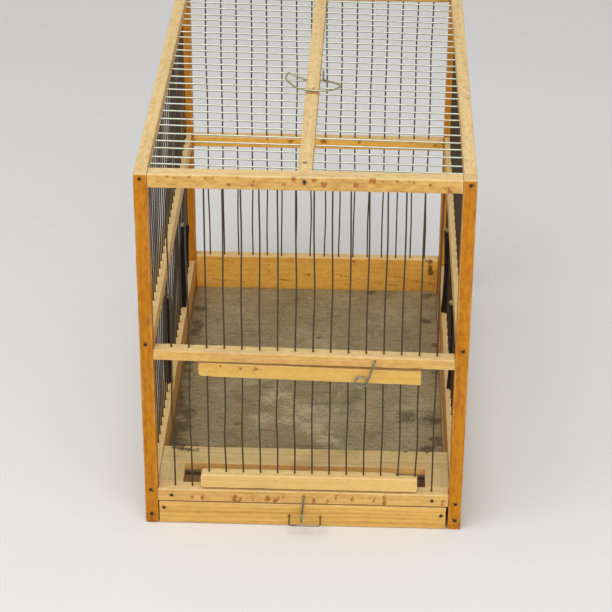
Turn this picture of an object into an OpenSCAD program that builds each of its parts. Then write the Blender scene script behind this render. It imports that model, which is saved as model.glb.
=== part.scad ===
// Wooden bird cage: a nailed frame of beech strips with drilled-in steel wires,
// a hinged wire door, a sliding floor tray, a wire carrying handle on the roof
// and four black upright strips inside the side wires.
// Millimetres, +Z up, the front of the cage faces -Y. The origin is the middle
// of the whole outline at the level of the feet.

/* [Cage] */
// Width over the front posts
cage_width = 250; // [220:1:300]
// Depth from the front face to the rear face
cage_depth = 390; // [360:1:460]
// Height of the posts
cage_height = 308; // [290:1:380]
// Bevel along the edges of the wood
edge_bevel = 0.5; // [0.2:0.1:1]

/* [Posts] */
// Width of a post, left to right
post_width = 10.25; // [9:0.25:13]
// Depth of a post, front to back
post_depth = 12; // [11.5:0.5:15]

/* [Top frame] */
// Height of the four top rails
top_rail_height = 11; // [10:0.5:14]
// Depth of the front and rear top rails
top_rail_depth = 12; // [10:0.5:14]
// Width of the bar along the middle of the roof
roof_bar_width = 10.6; // [8:0.1:14]
// Height of the roof bar
roof_bar_height = 10; // [9:0.5:11]
// Place of the roof bar's front end to the left of the middle
roof_bar_offset = 0.35; // [0:0.05:2]
// Sideways drift of the roof bar from its front end to its rear end
roof_bar_drift = 2.1; // [0:0.1:8]

/* [Side rails] */
// Width of every rail and board in the two sides
side_rail_width = 9.5; // [8:0.25:11]
// Height of the side middle rails
side_mid_height = 15; // [12:0.5:17]
// Level of the underside of the side middle rails
side_mid_level = 152; // [145:1:170]
// Height of the bottom side boards
side_board_height = 34; // [32:1:36]

/* [Front rails] */
// Height of the front middle rail
mid_rail_height = 8.8; // [8:0.2:12]
// Depth of the front middle rail
mid_rail_depth = 11; // [9:0.5:13]
// Level of the underside of the front middle rail, in its middle
mid_rail_level = 149.4; // [140:0.2:165]
// Tilt of the front middle rail: its right end is the lower one
mid_rail_tilt = 0.85; // [0:0.05:1.5]
// Height of the front bottom rail
low_rail_height = 11; // [9:0.5:12]
// Depth of the front bottom rail
low_rail_depth = 11.5; // [9:0.5:13]
// Level of the underside of the front bottom rail
low_rail_level = 21.4; // [21:0.2:22.4]

/* [Rear] */
// Height of the rear middle rail
rear_mid_height = 9.9; // [9:0.1:14]
// Depth of the rear middle rail
rear_mid_depth = 11; // [9:0.5:13]
// Level of the underside of the rear middle rail
rear_mid_level = 152.2; // [140:0.1:165]
// Height of the rear bottom board
rear_board_height = 38; // [30:1:50]
// Thickness of the rear bottom board
rear_board_depth = 10; // [9:0.5:12]

/* [Feed ledge] */
// Depth of the ledge board inside the front
ledge_depth = 24; // [16:0.5:32]
// Thickness of the ledge board and its end blocks
ledge_thickness = 7.4; // [6:0.2:8]
// Width of the open slot between the bottom rail and the ledge board
slot_depth = 27; // [20:0.5:32]
// Length of the end block at the left of the slot
left_block_length = 19.5; // [16:0.5:30]
// Length of the end block at the right of the slot
right_block_length = 19; // [16:0.5:30]

/* [Wires] */
// Diameter of the cage wires
wire_d = 1.3; // [1:0.1:1.6]
// Number of wires across the front and the rear
front_wires_n = 16; // [14:1:18]
// Number of wires along each side
side_wires_n = 27; // [27:1:28]
// Number of wires across the roof
roof_wires_n = 26; // [24:1:26]
// Distance of the first roof wire behind the front, at its left end
roof_first_left = 29.2; // [24:0.1:30]
// Distance of the last roof wire from the rear, at its left end
roof_last_left = 20.8; // [20.6:0.1:30]
// Distance of the first roof wire behind the front, at its right end
roof_first_right = 22.4; // [22:0.1:30]
// Distance of the last roof wire from the rear, at its right end
roof_last_right = 33.8; // [22:0.1:36]
// How far a roof wire's hole strays from its place, as it was drilled by eye
drill_stray = 1; // [0:0.1:1.2]
// Distance of the front and rear wires behind the outer faces
wire_inset = 6; // [5:0.5:7]
// Depth of the wire ends in the top rails
wire_top_seat = 3.2; // [2.5:0.1:3.6]
// Depth of the wire ends in the bottom rails and boards
wire_foot = 4; // [3:0.5:4.5]
// Clearance round a wire in its hole
hole_slack = 0.03; // [0.02:0.01:0.05]

/* [Door] */
// Number of the front wire that the door turns on
hinge_wire = 3; // [3:1:4]
// Number of the last wire in the door
last_door_wire = 15; // [12:1:15]
// Height of the two door bars
door_bar_height = 12.2; // [9:0.2:14]
// Thickness of the two door bars
door_bar_depth = 10; // [8:0.5:10]
// Length of the door bars beyond the hinge wire
door_heel = 6.5; // [4:0.5:7]
// Length of the door bars beyond the last door wire
door_toe = 1.8; // [1.5:0.1:4]
// Gap under the front middle rail
door_top_gap = 2.3; // [1.5:0.1:4]
// Tilt of the door's upper bar: its free end hangs lower
door_top_tilt = 1.3; // [0:0.05:1.5]
// Gap over the front bottom rail
door_foot_gap = 1.6; // [0.5:0.1:3]
// Radius of the rounded hinge ends of the door bars
door_round = 2.7; // [1:0.1:4]
// Depth of the door wires in the top door bar
door_wire_top = 8; // [5:0.5:9]
// Depth of the door wires in the bottom door bar
door_wire_foot = 10; // [9:0.5:11]
// Length of the piece broken off the lower door bar
chip_length = 17; // [10:1:20]
// Depth of the broken piece below the top of that bar
chip_height = 8; // [5:0.5:8.5]
// How far the chipped place reaches forward past the wire holes
chip_lead = 0.6; // [0.3:0.1:1]
// Running clearance round the hinge wire
hinge_slack = 0.05; // [0.03:0.01:0.08]

/* [Turn catches] */
// Diameter of the wire of the catches, the pull and the handle
bent_wire_d = 1.5; // [1.2:0.1:1.8]
// Distance of a catch in front of the wood
catch_standoff = 2.2; // [1.8:0.1:2.6]
// Length of the leg of a catch inside the wood
catch_leg = 6; // [5:0.5:7]
// Bend radius at the top of a catch
catch_bend = 1.4; // [1:0.1:1.6]
// Radius of the ring at the end of a catch
catch_ring = 4.5; // [3.5:0.1:5]
// Sweep of that ring
catch_sweep = 330; // [320:5:335]
// Place of the door catch to the right of the middle
door_catch_x = 53.9; // [50:0.1:58]
// Height of the door catch above the underside of the middle rail
door_catch_rise = 4.8; // [3:0.1:7]
// Shank of the door catch
door_catch_shank = 19.6; // [16:0.1:21]
// Lean of the door catch
door_catch_lean = 17; // [0:1:25]
// Place of the tray catch to the right of the middle
tray_catch_x = 0.9; // [0:0.1:2]
// Height of the tray catch above the underside of the bottom rail
tray_catch_rise = 7.1; // [6.5:0.1:8]
// Shank of the tray catch
tray_catch_shank = 15.2; // [12:0.1:15.4]
// Lean of the tray catch
tray_catch_lean = 6; // [0:1:8]

/* [Floor tray] */
// Height of the tray front
tray_front_height = 20.1; // [18:0.1:20.3]
// Thickness of the tray front
tray_front_depth = 9.7; // [8:0.1:11]
// Lift of the tray front off the ground
tray_lift = 0.3; // [0.3:0.1:0.5]
// Gap between the tray and the left post
tray_left_gap = 0.6; // [0.5:0.1:1.2]
// Gap between the tray and the right post
tray_right_gap = 1.6; // [0.5:0.1:2.4]
// Gap between the tray and the rear board
tray_rear_gap = 2; // [1:0.5:5]
// Thickness of the tray floor
tray_floor_t = 3; // [2.5:0.1:3.5]
// Height of the runners under the tray
runner_height = 2.2; // [2:0.1:2.4]
// Width of the runners
runner_width = 8; // [6:0.5:12]
// Gap between the runners and the tray floor
runner_gap = 0.3; // [0.2:0.05:0.5]
// Width of the corner blocks behind the tray front
tray_block_width = 11; // [9:0.5:14]
// Depth of the corner blocks
tray_block_depth = 24; // [16:1:30]
// Height of the corner blocks
tray_block_height = 13; // [11:0.5:14]

/* [Tray pull] */
// Width of the pull between the middles of its legs
pull_width = 24.6; // [23.4:0.2:30]
// Reach of the pull in front of the tray
pull_reach = 13; // [12.6:0.1:18]
// Depth of its legs in the tray front
pull_seat = 7; // [5:0.5:7.5]
// Bend radius of the pull
pull_bend = 2; // [1.5:0.1:3]
// Height of the pull above the underside of the tray front
pull_rise = 9.4; // [8:0.1:9.6]
// Middle of the pull to the right of the middle of the cage
pull_x = 1.6; // [0.6:0.1:2.4]

/* [Carrying handle] */
// Distance from the middle of the roof forward to the handle's axis
handle_forward = 8.5; // [-30:0.5:30]
// Height of the turning axis above the middle of the roof wires
handle_axis_rise = 1.8; // [1.7:0.1:2.4]
// Height of the bent-up end of the handle wire
handle_stub = 8; // [5:0.5:9]
// Running clearance of the handle wire in the roof bar
handle_slack = 0.05; // [0.03:0.01:0.08]

/* [Perch strips] */
// The front perch strips stand behind this side wire
front_strip_wire = 11; // [9:1:13]
// The rear perch strips stand behind this side wire
rear_strip_wire = 21; // [19:1:23]
// Height of a perch strip
strip_height = 83; // [60:1:100]
// Width of a perch strip, across the side wall
strip_width = 7; // [6:0.1:9]
// Thickness of a perch strip
strip_t = 3; // [2:0.1:5]
// Reach of a front strip inside the line of the side wires
front_strip_reach = 3.5; // [2.4:0.1:5.5]
// Reach of the rear right strip inside the line of the side wires
rear_strip_reach = 5.4; // [2.8:0.1:5.6]
// Reach of the foot of the leaning rear left strip inside the line of the side wires
leaning_strip_reach = 4.2; // [2.8:0.1:5.6]
// Lean of the rear left strip into the cage, in degrees
strip_lean = 3; // [1:0.5:4]
// Hollow of the inner edge of the upright strips
strip_bow = 1.4; // [0.4:0.1:2]
// Number of steps that the hollow edge is drawn in
strip_steps = 12; // [6:1:24]
// Gap between a strip and the board under it or the wire before it
strip_gap = 0.3; // [0.1:0.05:0.5]
// Radius of the solder drop on top of a strip
drop_r = 2.3; // [2.1:0.1:2.6]
// Distance of the drop inside the line of the side wires
drop_reach = 2.6; // [1.8:0.1:2.6]
// Distance of the drop behind its side wire
drop_set_back = 0.5; // [0.3:0.1:0.8]
// Height of the middle of the drop over the top of a strip
drop_rise = 1.5; // [1:0.1:1.8]

/* [Nails] */
// Length of a nail
nail_length = 19; // [17:0.5:20]
// Diameter of a nail
nail_d = 1.6; // [1.2:0.1:1.7]
// Diameter of a nail head
nail_head_d = 2.7; // [2.2:0.1:3.2]
// Thickness of a nail head
nail_head_t = 0.7; // [0.5:0.1:1]
// Level of the top nail below the top of a post
top_nail_drop = 4; // [3:0.1:4.5]
// Level of the middle nail above the underside of the side middle rail
mid_nail_rise = 12.4; // [10:0.1:13]
// Level of the upper bottom nail, left
low_nail_left = 31.4; // [30:0.1:31.8]
// Level of the upper bottom nail, right
low_nail_right = 24.1; // [23:0.1:24.6]
// Level of the lower bottom nail
foot_nail = 8.5; // [6:0.1:11]
// Level of the hidden top nails in the rails, below the top of a post
cross_nail_drop = 8.2; // [8:0.1:8.6]
// Level of the upper nail in the ends of the rear board
rear_nail_high = 27.6; // [24:0.1:30]
// Level of the lower nail in the ends of the rear board
rear_nail_low = 14; // [11:0.1:16]
// Level of the nail in the ends of the front bottom rail, above its underside
low_rail_nail_rise = 6.2; // [5.5:0.1:7]
// Distance of a tray nail from the end of the tray front
tray_nail_inset = 3.9; // [3:0.1:5]
// Level of the left tray nail above the underside of the tray front
tray_nail_left = 14.4; // [10:0.1:15]
// Level of the right tray nail above the underside of the tray front
tray_nail_right = 12.6; // [10:0.1:15]
// Depth of the loose nail in the right post
stub_nail_depth = 8; // [6:0.5:9]
// Reach of the loose nail out of the right post
stub_nail_reach = 2; // [1:0.1:3]
// Level of the loose nail
stub_nail_level = 46.3; // [42:0.1:60]

/* [Hidden] */

honey = [0.78, 0.53, 0.17];
beech = [0.86, 0.70, 0.43];
pale = [0.88, 0.74, 0.47];
grey_wood = [0.49, 0.45, 0.35];
steel = [0.36, 0.33, 0.28];
bright_steel = [0.78, 0.78, 0.74];
dark_steel = [0.16, 0.13, 0.12];
black = [0.05, 0.05, 0.06];
brass = [0.80, 0.65, 0.32];

fine = 0.01;
cut_room = 10;
half_w = cage_width / 2;
inner_w = half_w - post_width;
side_in = half_w - side_rail_width;
side_wire_x = half_w - side_rail_width / 2;
rear_y = cage_depth;
wire_r = wire_d / 2;
hole_r = wire_r + hole_slack;
bent_r = bent_wire_d / 2;
front_y = -(cage_depth - pull_reach - bent_r) / 2;

top_rail_z = cage_height - top_rail_height;
roof_wire_z = top_rail_z + top_rail_height / 2;
mid_rail_top = mid_rail_level + mid_rail_height;
low_rail_top = low_rail_level + low_rail_height;
wire_top_z = top_rail_z + wire_top_seat;
ledge_z = low_rail_top - ledge_thickness;
ledge_y = low_rail_depth + slot_depth;

front_pitch = 2 * inner_w / (front_wires_n + 1);
side_pitch = (cage_depth - 2 * post_depth) / (side_wires_n + 1);
function front_wire_x(i) = -inner_w + i * front_pitch;
function side_wire_y(k) = post_depth + k * side_pitch;
function roof_place(k, first, last) = first + (cage_depth - last - first) * (k - 1) / (roof_wires_n - 1);
function roof_left_y(k) = roof_place(k, roof_first_left, roof_last_left) + drill_stray * sin(137.5 * k);
function roof_right_y(k) = roof_place(k, roof_first_right, roof_last_right) + drill_stray * cos(99 * k);
function roof_turn(k) = atan2(roof_right_y(k) - roof_left_y(k), 2 * side_wire_x);
function mid_drop(x) = x * tan(mid_rail_tilt);

door_z0 = low_rail_top + door_foot_gap;
door_z1 = mid_rail_level - door_top_gap;
door_x0 = front_wire_x(hinge_wire) - door_heel;
door_x1 = front_wire_x(last_door_wire) + door_toe;
door_y0 = wire_inset - door_bar_depth / 2;

door_catch_z = mid_rail_level + door_catch_rise;
tray_catch_z = low_rail_level + tray_catch_rise;

tray_x0 = -inner_w + tray_left_gap;
tray_x1 = inner_w - tray_right_gap;
tray_floor_z = runner_height + runner_gap;
tray_top_z = tray_floor_z + tray_floor_t;
tray_rear_y = rear_y - rear_board_depth - tray_rear_gap;
pull_z = tray_lift + pull_rise;

handle_y = cage_depth / 2 - handle_forward;
handle_z = roof_wire_z + handle_axis_rise;
roof_bar_y0 = top_rail_depth;
roof_bar_y1 = rear_y - top_rail_depth;
function roof_bar_x(y) = roof_bar_drift * (y - roof_bar_y0) / (roof_bar_y1 - roof_bar_y0) - roof_bar_offset;

strip_z = side_board_height + strip_gap;

// All pieces are drawn with y measured back from the front face.
module placed() {
    translate([0, front_y, 0])
        children();
}

function bevelled(a0, a1, b0, b1, c) = [[a0 + c, b0], [a1 - c, b0], [a1, b0 + c], [a1, b1 - c],
    [a1 - c, b1], [a0 + c, b1], [a0, b1 - c], [a0, b0 + c]];

module bar_x(x0, x1, y0, y1, z0, z1) {
    translate([x0, 0, 0])
        rotate([90, 0, 90])
            linear_extrude(x1 - x0)
                polygon(bevelled(y0, y1, z0, z1, edge_bevel));
}

module bar_y(x0, x1, y0, y1, z0, z1) {
    translate([0, y1, 0])
        rotate([90, 0, 0])
            linear_extrude(y1 - y0)
                polygon(bevelled(x0, x1, z0, z1, edge_bevel));
}

module bar_z(x0, x1, y0, y1, z0, z1) {
    translate([0, 0, z0])
        linear_extrude(z1 - z0)
            polygon(bevelled(x0, x1, y0, y1, edge_bevel));
}

module rod_x(x0, x1, y, z, r) {
    translate([x0, y, z])
        rotate([0, 90, 0])
            cylinder(h = x1 - x0, r = r, $fn = 24);
}

module rod_y(x, y0, y1, z, r) {
    translate([x, y0, z])
        rotate([-90, 0, 0])
            cylinder(h = y1 - y0, r = r, $fn = 24);
}

module rod_z(x, y, z0, z1, r) {
    translate([x, y, z0])
        cylinder(h = z1 - z0, r = r, $fn = 24);
}

// A straight rod along a roof wire, from one side rail to the other.
module roof_line(k, r) {
    translate([-side_wire_x, roof_left_y(k), roof_wire_z])
        rotate([0, 0, roof_turn(k)])
            rod_x(-1, 2 * side_wire_x / cos(roof_turn(k)) + 1, 0, 0, r);
}

// What follows is tilted sideways about a level in the middle of the front.
module tilted(level, angle) {
    translate([0, 0, level])
        rotate([0, angle, 0])
            translate([0, 0, -level])
                children();
}

// A nail is its place on the surface and the direction that it is driven in.
function toward(d) = d[0] != 0 ? [0, 90 * d[0], 0] : [-90 * d[1], 0, 0];

module nail(n) {
    translate(n[0])
        rotate(toward(n[1])) {
            cylinder(h = nail_length, r = nail_d / 2, $fn = 24);
            cylinder(h = nail_head_t, r = nail_head_d / 2, $fn = 24);
        }
}

module nail_hole(n) {
    translate(n[0])
        rotate(toward(n[1])) {
            cylinder(h = nail_length + fine, r = nail_d / 2 + hole_slack, $fn = 24);
            translate([0, 0, -1])
                cylinder(h = nail_head_t + 1 + fine, r = nail_head_d / 2 + hole_slack, $fn = 24);
        }
}

module nails(list) {
    for (n = list)
        nail(n);
}

module nail_holes(list) {
    for (n = list)
        nail_hole(n);
}

// The nails of one corner. They are driven through the post into the side rails.
function post_nails(side, y, d) = [for (z = [cage_height - top_nail_drop, side_mid_level + mid_nail_rise,
    side < 0 ? low_nail_left : low_nail_right, foot_nail]) [[side * side_wire_x, y, z], d]];
function cross_levels(rear) = rear ?
    [cage_height - cross_nail_drop, rear_mid_level + rear_mid_height / 2, rear_nail_high,
        rear_nail_low] :
    [cage_height - cross_nail_drop, mid_rail_level + mid_rail_height / 2, low_rail_level + low_rail_nail_rise];
function cross_nails(side, rear) = [for (z = cross_levels(rear))
    [[side * half_w, rear ? rear_y - wire_inset : wire_inset, z], [-side, 0, 0]]];
function corner_nails(side, rear) = concat(
    post_nails(side, rear ? rear_y : 0, [0, rear ? -1 : 1, 0]), cross_nails(side, rear));
roof_bar_nail_z = cage_height - 3.6;
function bar_nails(rear) = [[[roof_bar_x(rear ? roof_bar_y1 : roof_bar_y0), rear ? rear_y : 0,
    roof_bar_nail_z], [0, rear ? -1 : 1, 0]]];
block_nails = [[[-side_in + left_block_length / 2 + 1.8, 0, ledge_z + 1.8], [0, 1, 0]],
    [[side_in - right_block_length / 2 - 4.3, 0, ledge_z + 2.1], [0, 1, 0]]];
function ledge_nails(side) = [[[side * half_w, side_wire_y(2.5), ledge_z + ledge_thickness / 2],
    [-side, 0, 0]]];
tray_nail_list = [[[tray_x0 + tray_nail_inset, 0, tray_lift + tray_nail_left], [0, 1, 0]],
    [[tray_x1 - tray_nail_inset, 0, tray_lift + tray_nail_right], [0, 1, 0]]];

module post(side, rear) {
    color(honey)
        placed()
            difference() {
                bar_z(side < 0 ? -half_w : inner_w, side < 0 ? -inner_w : half_w,
                    rear ? rear_y - post_depth : 0, rear ? rear_y : post_depth, 0, cage_height);
                nail_holes(corner_nails(side, rear));
                if (side > 0 && !rear)
                    rod_x(half_w - stub_nail_depth, half_w + 1, wire_inset, stub_nail_level, nail_d / 2 + hole_slack);
            }
}

module post_front_left() {
    post(-1, false);
}

module post_front_right() {
    post(1, false);
}

module post_rear_left() {
    post(-1, true);
}

module post_rear_right() {
    post(1, true);
}

module front_top_rail() {
    color(pale)
        placed()
            difference() {
                bar_x(-inner_w, inner_w, 0, top_rail_depth, top_rail_z, cage_height);
                for (i = [1 : front_wires_n])
                    rod_z(front_wire_x(i), wire_inset, top_rail_z - 1, wire_top_z, hole_r);
                nail_holes(concat(corner_nails(-1, false), corner_nails(1, false), bar_nails(false)));
            }
}

module rear_top_rail() {
    color(pale)
        placed()
            difference() {
                bar_x(-inner_w, inner_w, rear_y - top_rail_depth, rear_y, top_rail_z, cage_height);
                for (i = [1 : front_wires_n])
                    rod_z(front_wire_x(i), rear_y - wire_inset, top_rail_z - 1, wire_top_z, hole_r);
                nail_holes(concat(corner_nails(-1, true), corner_nails(1, true), bar_nails(true)));
            }
}

// A rail or board of one side, from the front post to the rear post.
module side_bar(side, z0, z1) {
    bar_y(side < 0 ? -half_w : side_in, side < 0 ? -side_in : half_w,
        post_depth, rear_y - post_depth, z0, z1);
}

module side_top_rail(side) {
    color(pale)
        placed()
            difference() {
                side_bar(side, top_rail_z, cage_height);
                for (k = [1 : side_wires_n])
                    rod_z(side * side_wire_x, side_wire_y(k), top_rail_z - 1, wire_top_z, hole_r);
                for (k = [1 : roof_wires_n])
                    roof_line(k, hole_r);
                nail_holes(concat(corner_nails(side, false), corner_nails(side, true)));
            }
}

module left_top_rail() {
    side_top_rail(-1);
}

module right_top_rail() {
    side_top_rail(1);
}

module roof_bar() {
    color(pale)
        placed()
            difference() {
                translate([0, 0, cage_height - roof_bar_height])
                    linear_extrude(roof_bar_height)
                        polygon([for (q = [[-1, roof_bar_y0], [1, roof_bar_y0], [1, roof_bar_y1],
                            [-1, roof_bar_y1]]) [roof_bar_x(q[1]) + q[0] * roof_bar_width / 2, q[1]]]);
                for (k = [1 : roof_wires_n])
                    roof_line(k, hole_r);
                rod_x(-roof_bar_width, roof_bar_width + roof_bar_drift, handle_y, handle_z,
                    bent_r + handle_slack);
                nail_holes(concat(bar_nails(false), bar_nails(true)));
            }
}

module front_mid_rail() {
    color(beech)
        placed()
            difference() {
                tilted(mid_rail_level, mid_rail_tilt)
                    bar_x(-half_w, half_w, 0, mid_rail_depth, mid_rail_level, mid_rail_top);
                for (x0 = [-inner_w - 2 * cut_room, inner_w])
                    translate([x0, -cut_room, mid_rail_level - cut_room])
                        cube([2 * cut_room, mid_rail_depth + 2 * cut_room, mid_rail_height + 2 * cut_room]);
                for (i = [1 : front_wires_n])
                    rod_z(front_wire_x(i), wire_inset, in_door(i) ? mid_wire_foot(i) : mid_rail_level - cut_room,
                        mid_rail_top + cut_room, hole_r);
                rod_y(door_catch_x, -1, catch_leg + 0.5, door_catch_z, bent_r + hinge_slack);
                nail_holes(concat(cross_nails(-1, false), cross_nails(1, false)));
            }
}

function in_door(i) = i > hinge_wire && i <= last_door_wire;
function mid_wire_foot(i) = mid_rail_top - mid_drop(front_wire_x(i)) - wire_foot;

module rear_mid_rail() {
    color(beech)
        placed()
            difference() {
                bar_x(-inner_w, inner_w, rear_y - rear_mid_depth, rear_y,
                    rear_mid_level, rear_mid_level + rear_mid_height);
                for (i = [1 : front_wires_n])
                    rod_z(front_wire_x(i), rear_y - wire_inset, rear_mid_level - 1,
                        rear_mid_level + rear_mid_height + 1, hole_r);
                nail_holes(concat(cross_nails(-1, true), cross_nails(1, true)));
            }
}

module side_mid_rail(side) {
    color(beech)
        placed()
            difference() {
                side_bar(side, side_mid_level, side_mid_level + side_mid_height);
                for (k = [1 : side_wires_n])
                    rod_z(side * side_wire_x, side_wire_y(k), side_mid_level - 1,
                        side_mid_level + side_mid_height + 1, hole_r);
                nail_holes(concat(corner_nails(side, false), corner_nails(side, true)));
            }
}

module left_mid_rail() {
    side_mid_rail(-1);
}

module right_mid_rail() {
    side_mid_rail(1);
}

module front_bottom_rail() {
    color(beech)
        placed()
            difference() {
                bar_x(-inner_w, inner_w, 0, low_rail_depth, low_rail_level, low_rail_top);
                for (i = [1 : front_wires_n])
                    if (!in_door(i))
                        rod_z(front_wire_x(i), wire_inset, low_rail_top - wire_foot, low_rail_top + 1, hole_r);
                rod_y(tray_catch_x, -1, catch_leg + 0.5, tray_catch_z, bent_r + hinge_slack);
                nail_holes(concat(cross_nails(-1, false), cross_nails(1, false), block_nails));
            }
}

module rear_bottom_board() {
    color(beech)
        placed()
            difference() {
                bar_x(-inner_w, inner_w, rear_y - rear_board_depth, rear_y, 0, rear_board_height);
                for (i = [1 : front_wires_n])
                    rod_z(front_wire_x(i), rear_y - wire_inset, rear_board_height - wire_foot,
                        rear_board_height + 1, hole_r);
                nail_holes(concat(cross_nails(-1, true), cross_nails(1, true)));
            }
}

module side_bottom_board(side) {
    color(beech)
        placed()
            difference() {
                side_bar(side, 0, side_board_height);
                for (k = [1 : side_wires_n])
                    rod_z(side * side_wire_x, side_wire_y(k), side_board_height - wire_foot,
                        side_board_height + 1, hole_r);
                nail_holes(concat(corner_nails(side, false), corner_nails(side, true), ledge_nails(side)));
            }
}

module left_bottom_board() {
    side_bottom_board(-1);
}

module right_bottom_board() {
    side_bottom_board(1);
}

module ledge_board() {
    color(beech)
        placed()
            difference() {
                bar_x(-side_in, side_in, ledge_y, ledge_y + ledge_depth, ledge_z, low_rail_top);
                nail_holes(concat(ledge_nails(-1), ledge_nails(1)));
            }
}

// The end blocks reach from the bottom rail to the ledge board, beside the posts.
module ledge_block(side, length) {
    color(beech)
        placed()
            difference() {
                bar_y(side < 0 ? -side_in : side_in - length, side < 0 ? -side_in + length : side_in,
                    low_rail_depth, ledge_y, ledge_z, low_rail_top);
                translate([side < 0 ? -half_w : inner_w, 0, ledge_z - 1])
                    cube([post_width, post_depth, ledge_thickness + 2]);
                nail_holes(block_nails);
            }
}

module ledge_left_block() {
    ledge_block(-1, left_block_length);
}

module ledge_right_block() {
    ledge_block(1, right_block_length);
}

module runner(side) {
    color(beech)
        placed()
            bar_y(side < 0 ? -side_in : side_in - runner_width, side < 0 ? -side_in + runner_width : side_in,
                post_depth, rear_y - rear_board_depth - 2, 0, runner_height);
}

module left_runner() {
    runner(-1);
}

module right_runner() {
    runner(1);
}

module front_wires() {
    color(steel)
        placed()
            for (i = [1 : front_wires_n])
                if (i != hinge_wire)
                    rod_z(front_wire_x(i), wire_inset,
                        in_door(i) ? mid_wire_foot(i) : low_rail_top - wire_foot, wire_top_z, wire_r);
}

module door_hinge_wire() {
    color(steel)
        placed()
            rod_z(front_wire_x(hinge_wire), wire_inset, low_rail_top - wire_foot, wire_top_z, wire_r);
}

module rear_wires() {
    color(steel)
        placed()
            for (i = [1 : front_wires_n])
                rod_z(front_wire_x(i), rear_y - wire_inset, rear_board_height - wire_foot, wire_top_z, wire_r);
}

module side_wires(side) {
    color(steel)
        placed()
            for (k = [1 : side_wires_n])
                rod_z(side * side_wire_x, side_wire_y(k), side_board_height - wire_foot, wire_top_z, wire_r);
}

module left_wires() {
    side_wires(-1);
}

module right_wires() {
    side_wires(1);
}

module roof_wires() {
    color(bright_steel)
        placed()
            for (k = [1 : roof_wires_n])
                roof_line(k, wire_r);
}

module front_nails() {
    color(dark_steel)
        placed()
            nails(concat(post_nails(-1, 0, [0, 1, 0]), post_nails(1, 0, [0, 1, 0]),
                bar_nails(false), block_nails));
}

module rear_nails() {
    color(dark_steel)
        placed()
            nails(concat(post_nails(-1, rear_y, [0, -1, 0]), post_nails(1, rear_y, [0, -1, 0]),
                bar_nails(true)));
}

module side_nails() {
    color(dark_steel)
        placed()
            for (side = [-1, 1])
                nails(concat(cross_nails(side, false), cross_nails(side, true), ledge_nails(side)));
}

module loose_nail() {
    color(brass)
        placed()
            rod_x(half_w - stub_nail_depth, half_w + stub_nail_reach, wire_inset, stub_nail_level, nail_d / 2);
}

// Front view of a door bar: the hinge end is rounded.
module door_bar_face(z0) {
    translate([door_x0 + door_round, z0])
        square([door_x1 - door_x0 - door_round, door_bar_height]);
    translate([door_x0, z0 + door_round])
        square([door_round + 1, door_bar_height - 2 * door_round]);
    for (z = [z0 + door_round, z0 + door_bar_height - door_round])
        translate([door_x0 + door_round, z])
            circle(r = door_round, $fn = 32);
}

module door_bar(z0) {
    translate([0, door_y0 + door_bar_depth, 0])
        rotate([90, 0, 0])
            linear_extrude(door_bar_depth)
                door_bar_face(z0);
}

module door_hinge_hole() {
    rod_z(front_wire_x(hinge_wire), wire_inset, 0, mid_rail_top, wire_r + hinge_slack);
}

module door_top_bar() {
    color(pale)
        placed()
            difference() {
                tilted(door_z1, door_top_tilt)
                    door_bar(door_z1 - door_bar_height);
                door_hinge_hole();
                for (i = [hinge_wire + 1 : last_door_wire])
                    rod_z(front_wire_x(i), wire_inset, 0, door_z1 - door_bar_height + door_wire_top, hole_r);
            }
}

// A piece is broken out of the rear edge of the lower bar at its free end.
module door_bottom_bar() {
    color(pale)
        placed()
            difference() {
                door_bar(door_z0);
                door_hinge_hole();
                for (i = [hinge_wire + 1 : last_door_wire])
                    rod_z(front_wire_x(i), wire_inset, door_z0 + door_bar_height - door_wire_foot,
                        mid_rail_level, hole_r);
                translate([door_x1 - chip_length, wire_inset - hole_r - chip_lead,
                    door_z0 + door_bar_height - chip_height])
                    cube([chip_length + cut_room, door_bar_depth, chip_height + cut_room]);
            }
}

module door_wires() {
    color(steel)
        placed()
            for (i = [hinge_wire + 1 : last_door_wire])
                rod_z(front_wire_x(i), wire_inset, door_z0 + door_bar_height - door_wire_foot,
                    door_z1 - door_bar_height + door_wire_top, wire_r);
}

// A wire through a row of points, with one bend radius for each point between
// the two ends. A straight run, a hair thinner, joins the bends and laps into them.
lap = 0.1;
hair = 0.015;
function unit(v) = v / norm(v);
function turn_at(p, i) = acos(unit(p[i] - p[i - 1]) * unit(p[i + 1] - p[i]));
function trim_at(p, bends, i) = i == 0 || i == len(p) - 1 ? 0 : bends[i - 1] * tan(turn_at(p, i) / 2) - lap;

module straight(a, b, r) {
    d = b - a;
    translate(a)
        rotate([0, acos(d[2] / norm(d)), atan2(d[1], d[0])])
            cylinder(h = norm(d), r = r - hair, $fn = 24);
}

module bend_at(p, i, bend, r) {
    u = unit(p[i] - p[i - 1]);
    v = unit(p[i + 1] - p[i]);
    w = unit(v - (v * u) * u);
    n = cross(u, w);
    c = p[i] - bend * tan(turn_at(p, i) / 2) * u + bend * w;
    multmatrix([[-w[0], u[0], n[0], c[0]], [-w[1], u[1], n[1], c[1]], [-w[2], u[2], n[2], c[2]]])
        rotate_extrude(angle = turn_at(p, i), $fn = 72)
            translate([bend, 0])
                circle(r = r, $fn = 24);
}

module bent_wire(p, bends, r) {
    for (i = [1 : len(p) - 1])
        straight(p[i - 1] + trim_at(p, bends, i - 1) * unit(p[i] - p[i - 1]),
            p[i] - trim_at(p, bends, i) * unit(p[i] - p[i - 1]), r);
    for (i = [1 : len(p) - 2])
        bend_at(p, i, bends[i - 1], r);
}

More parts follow.
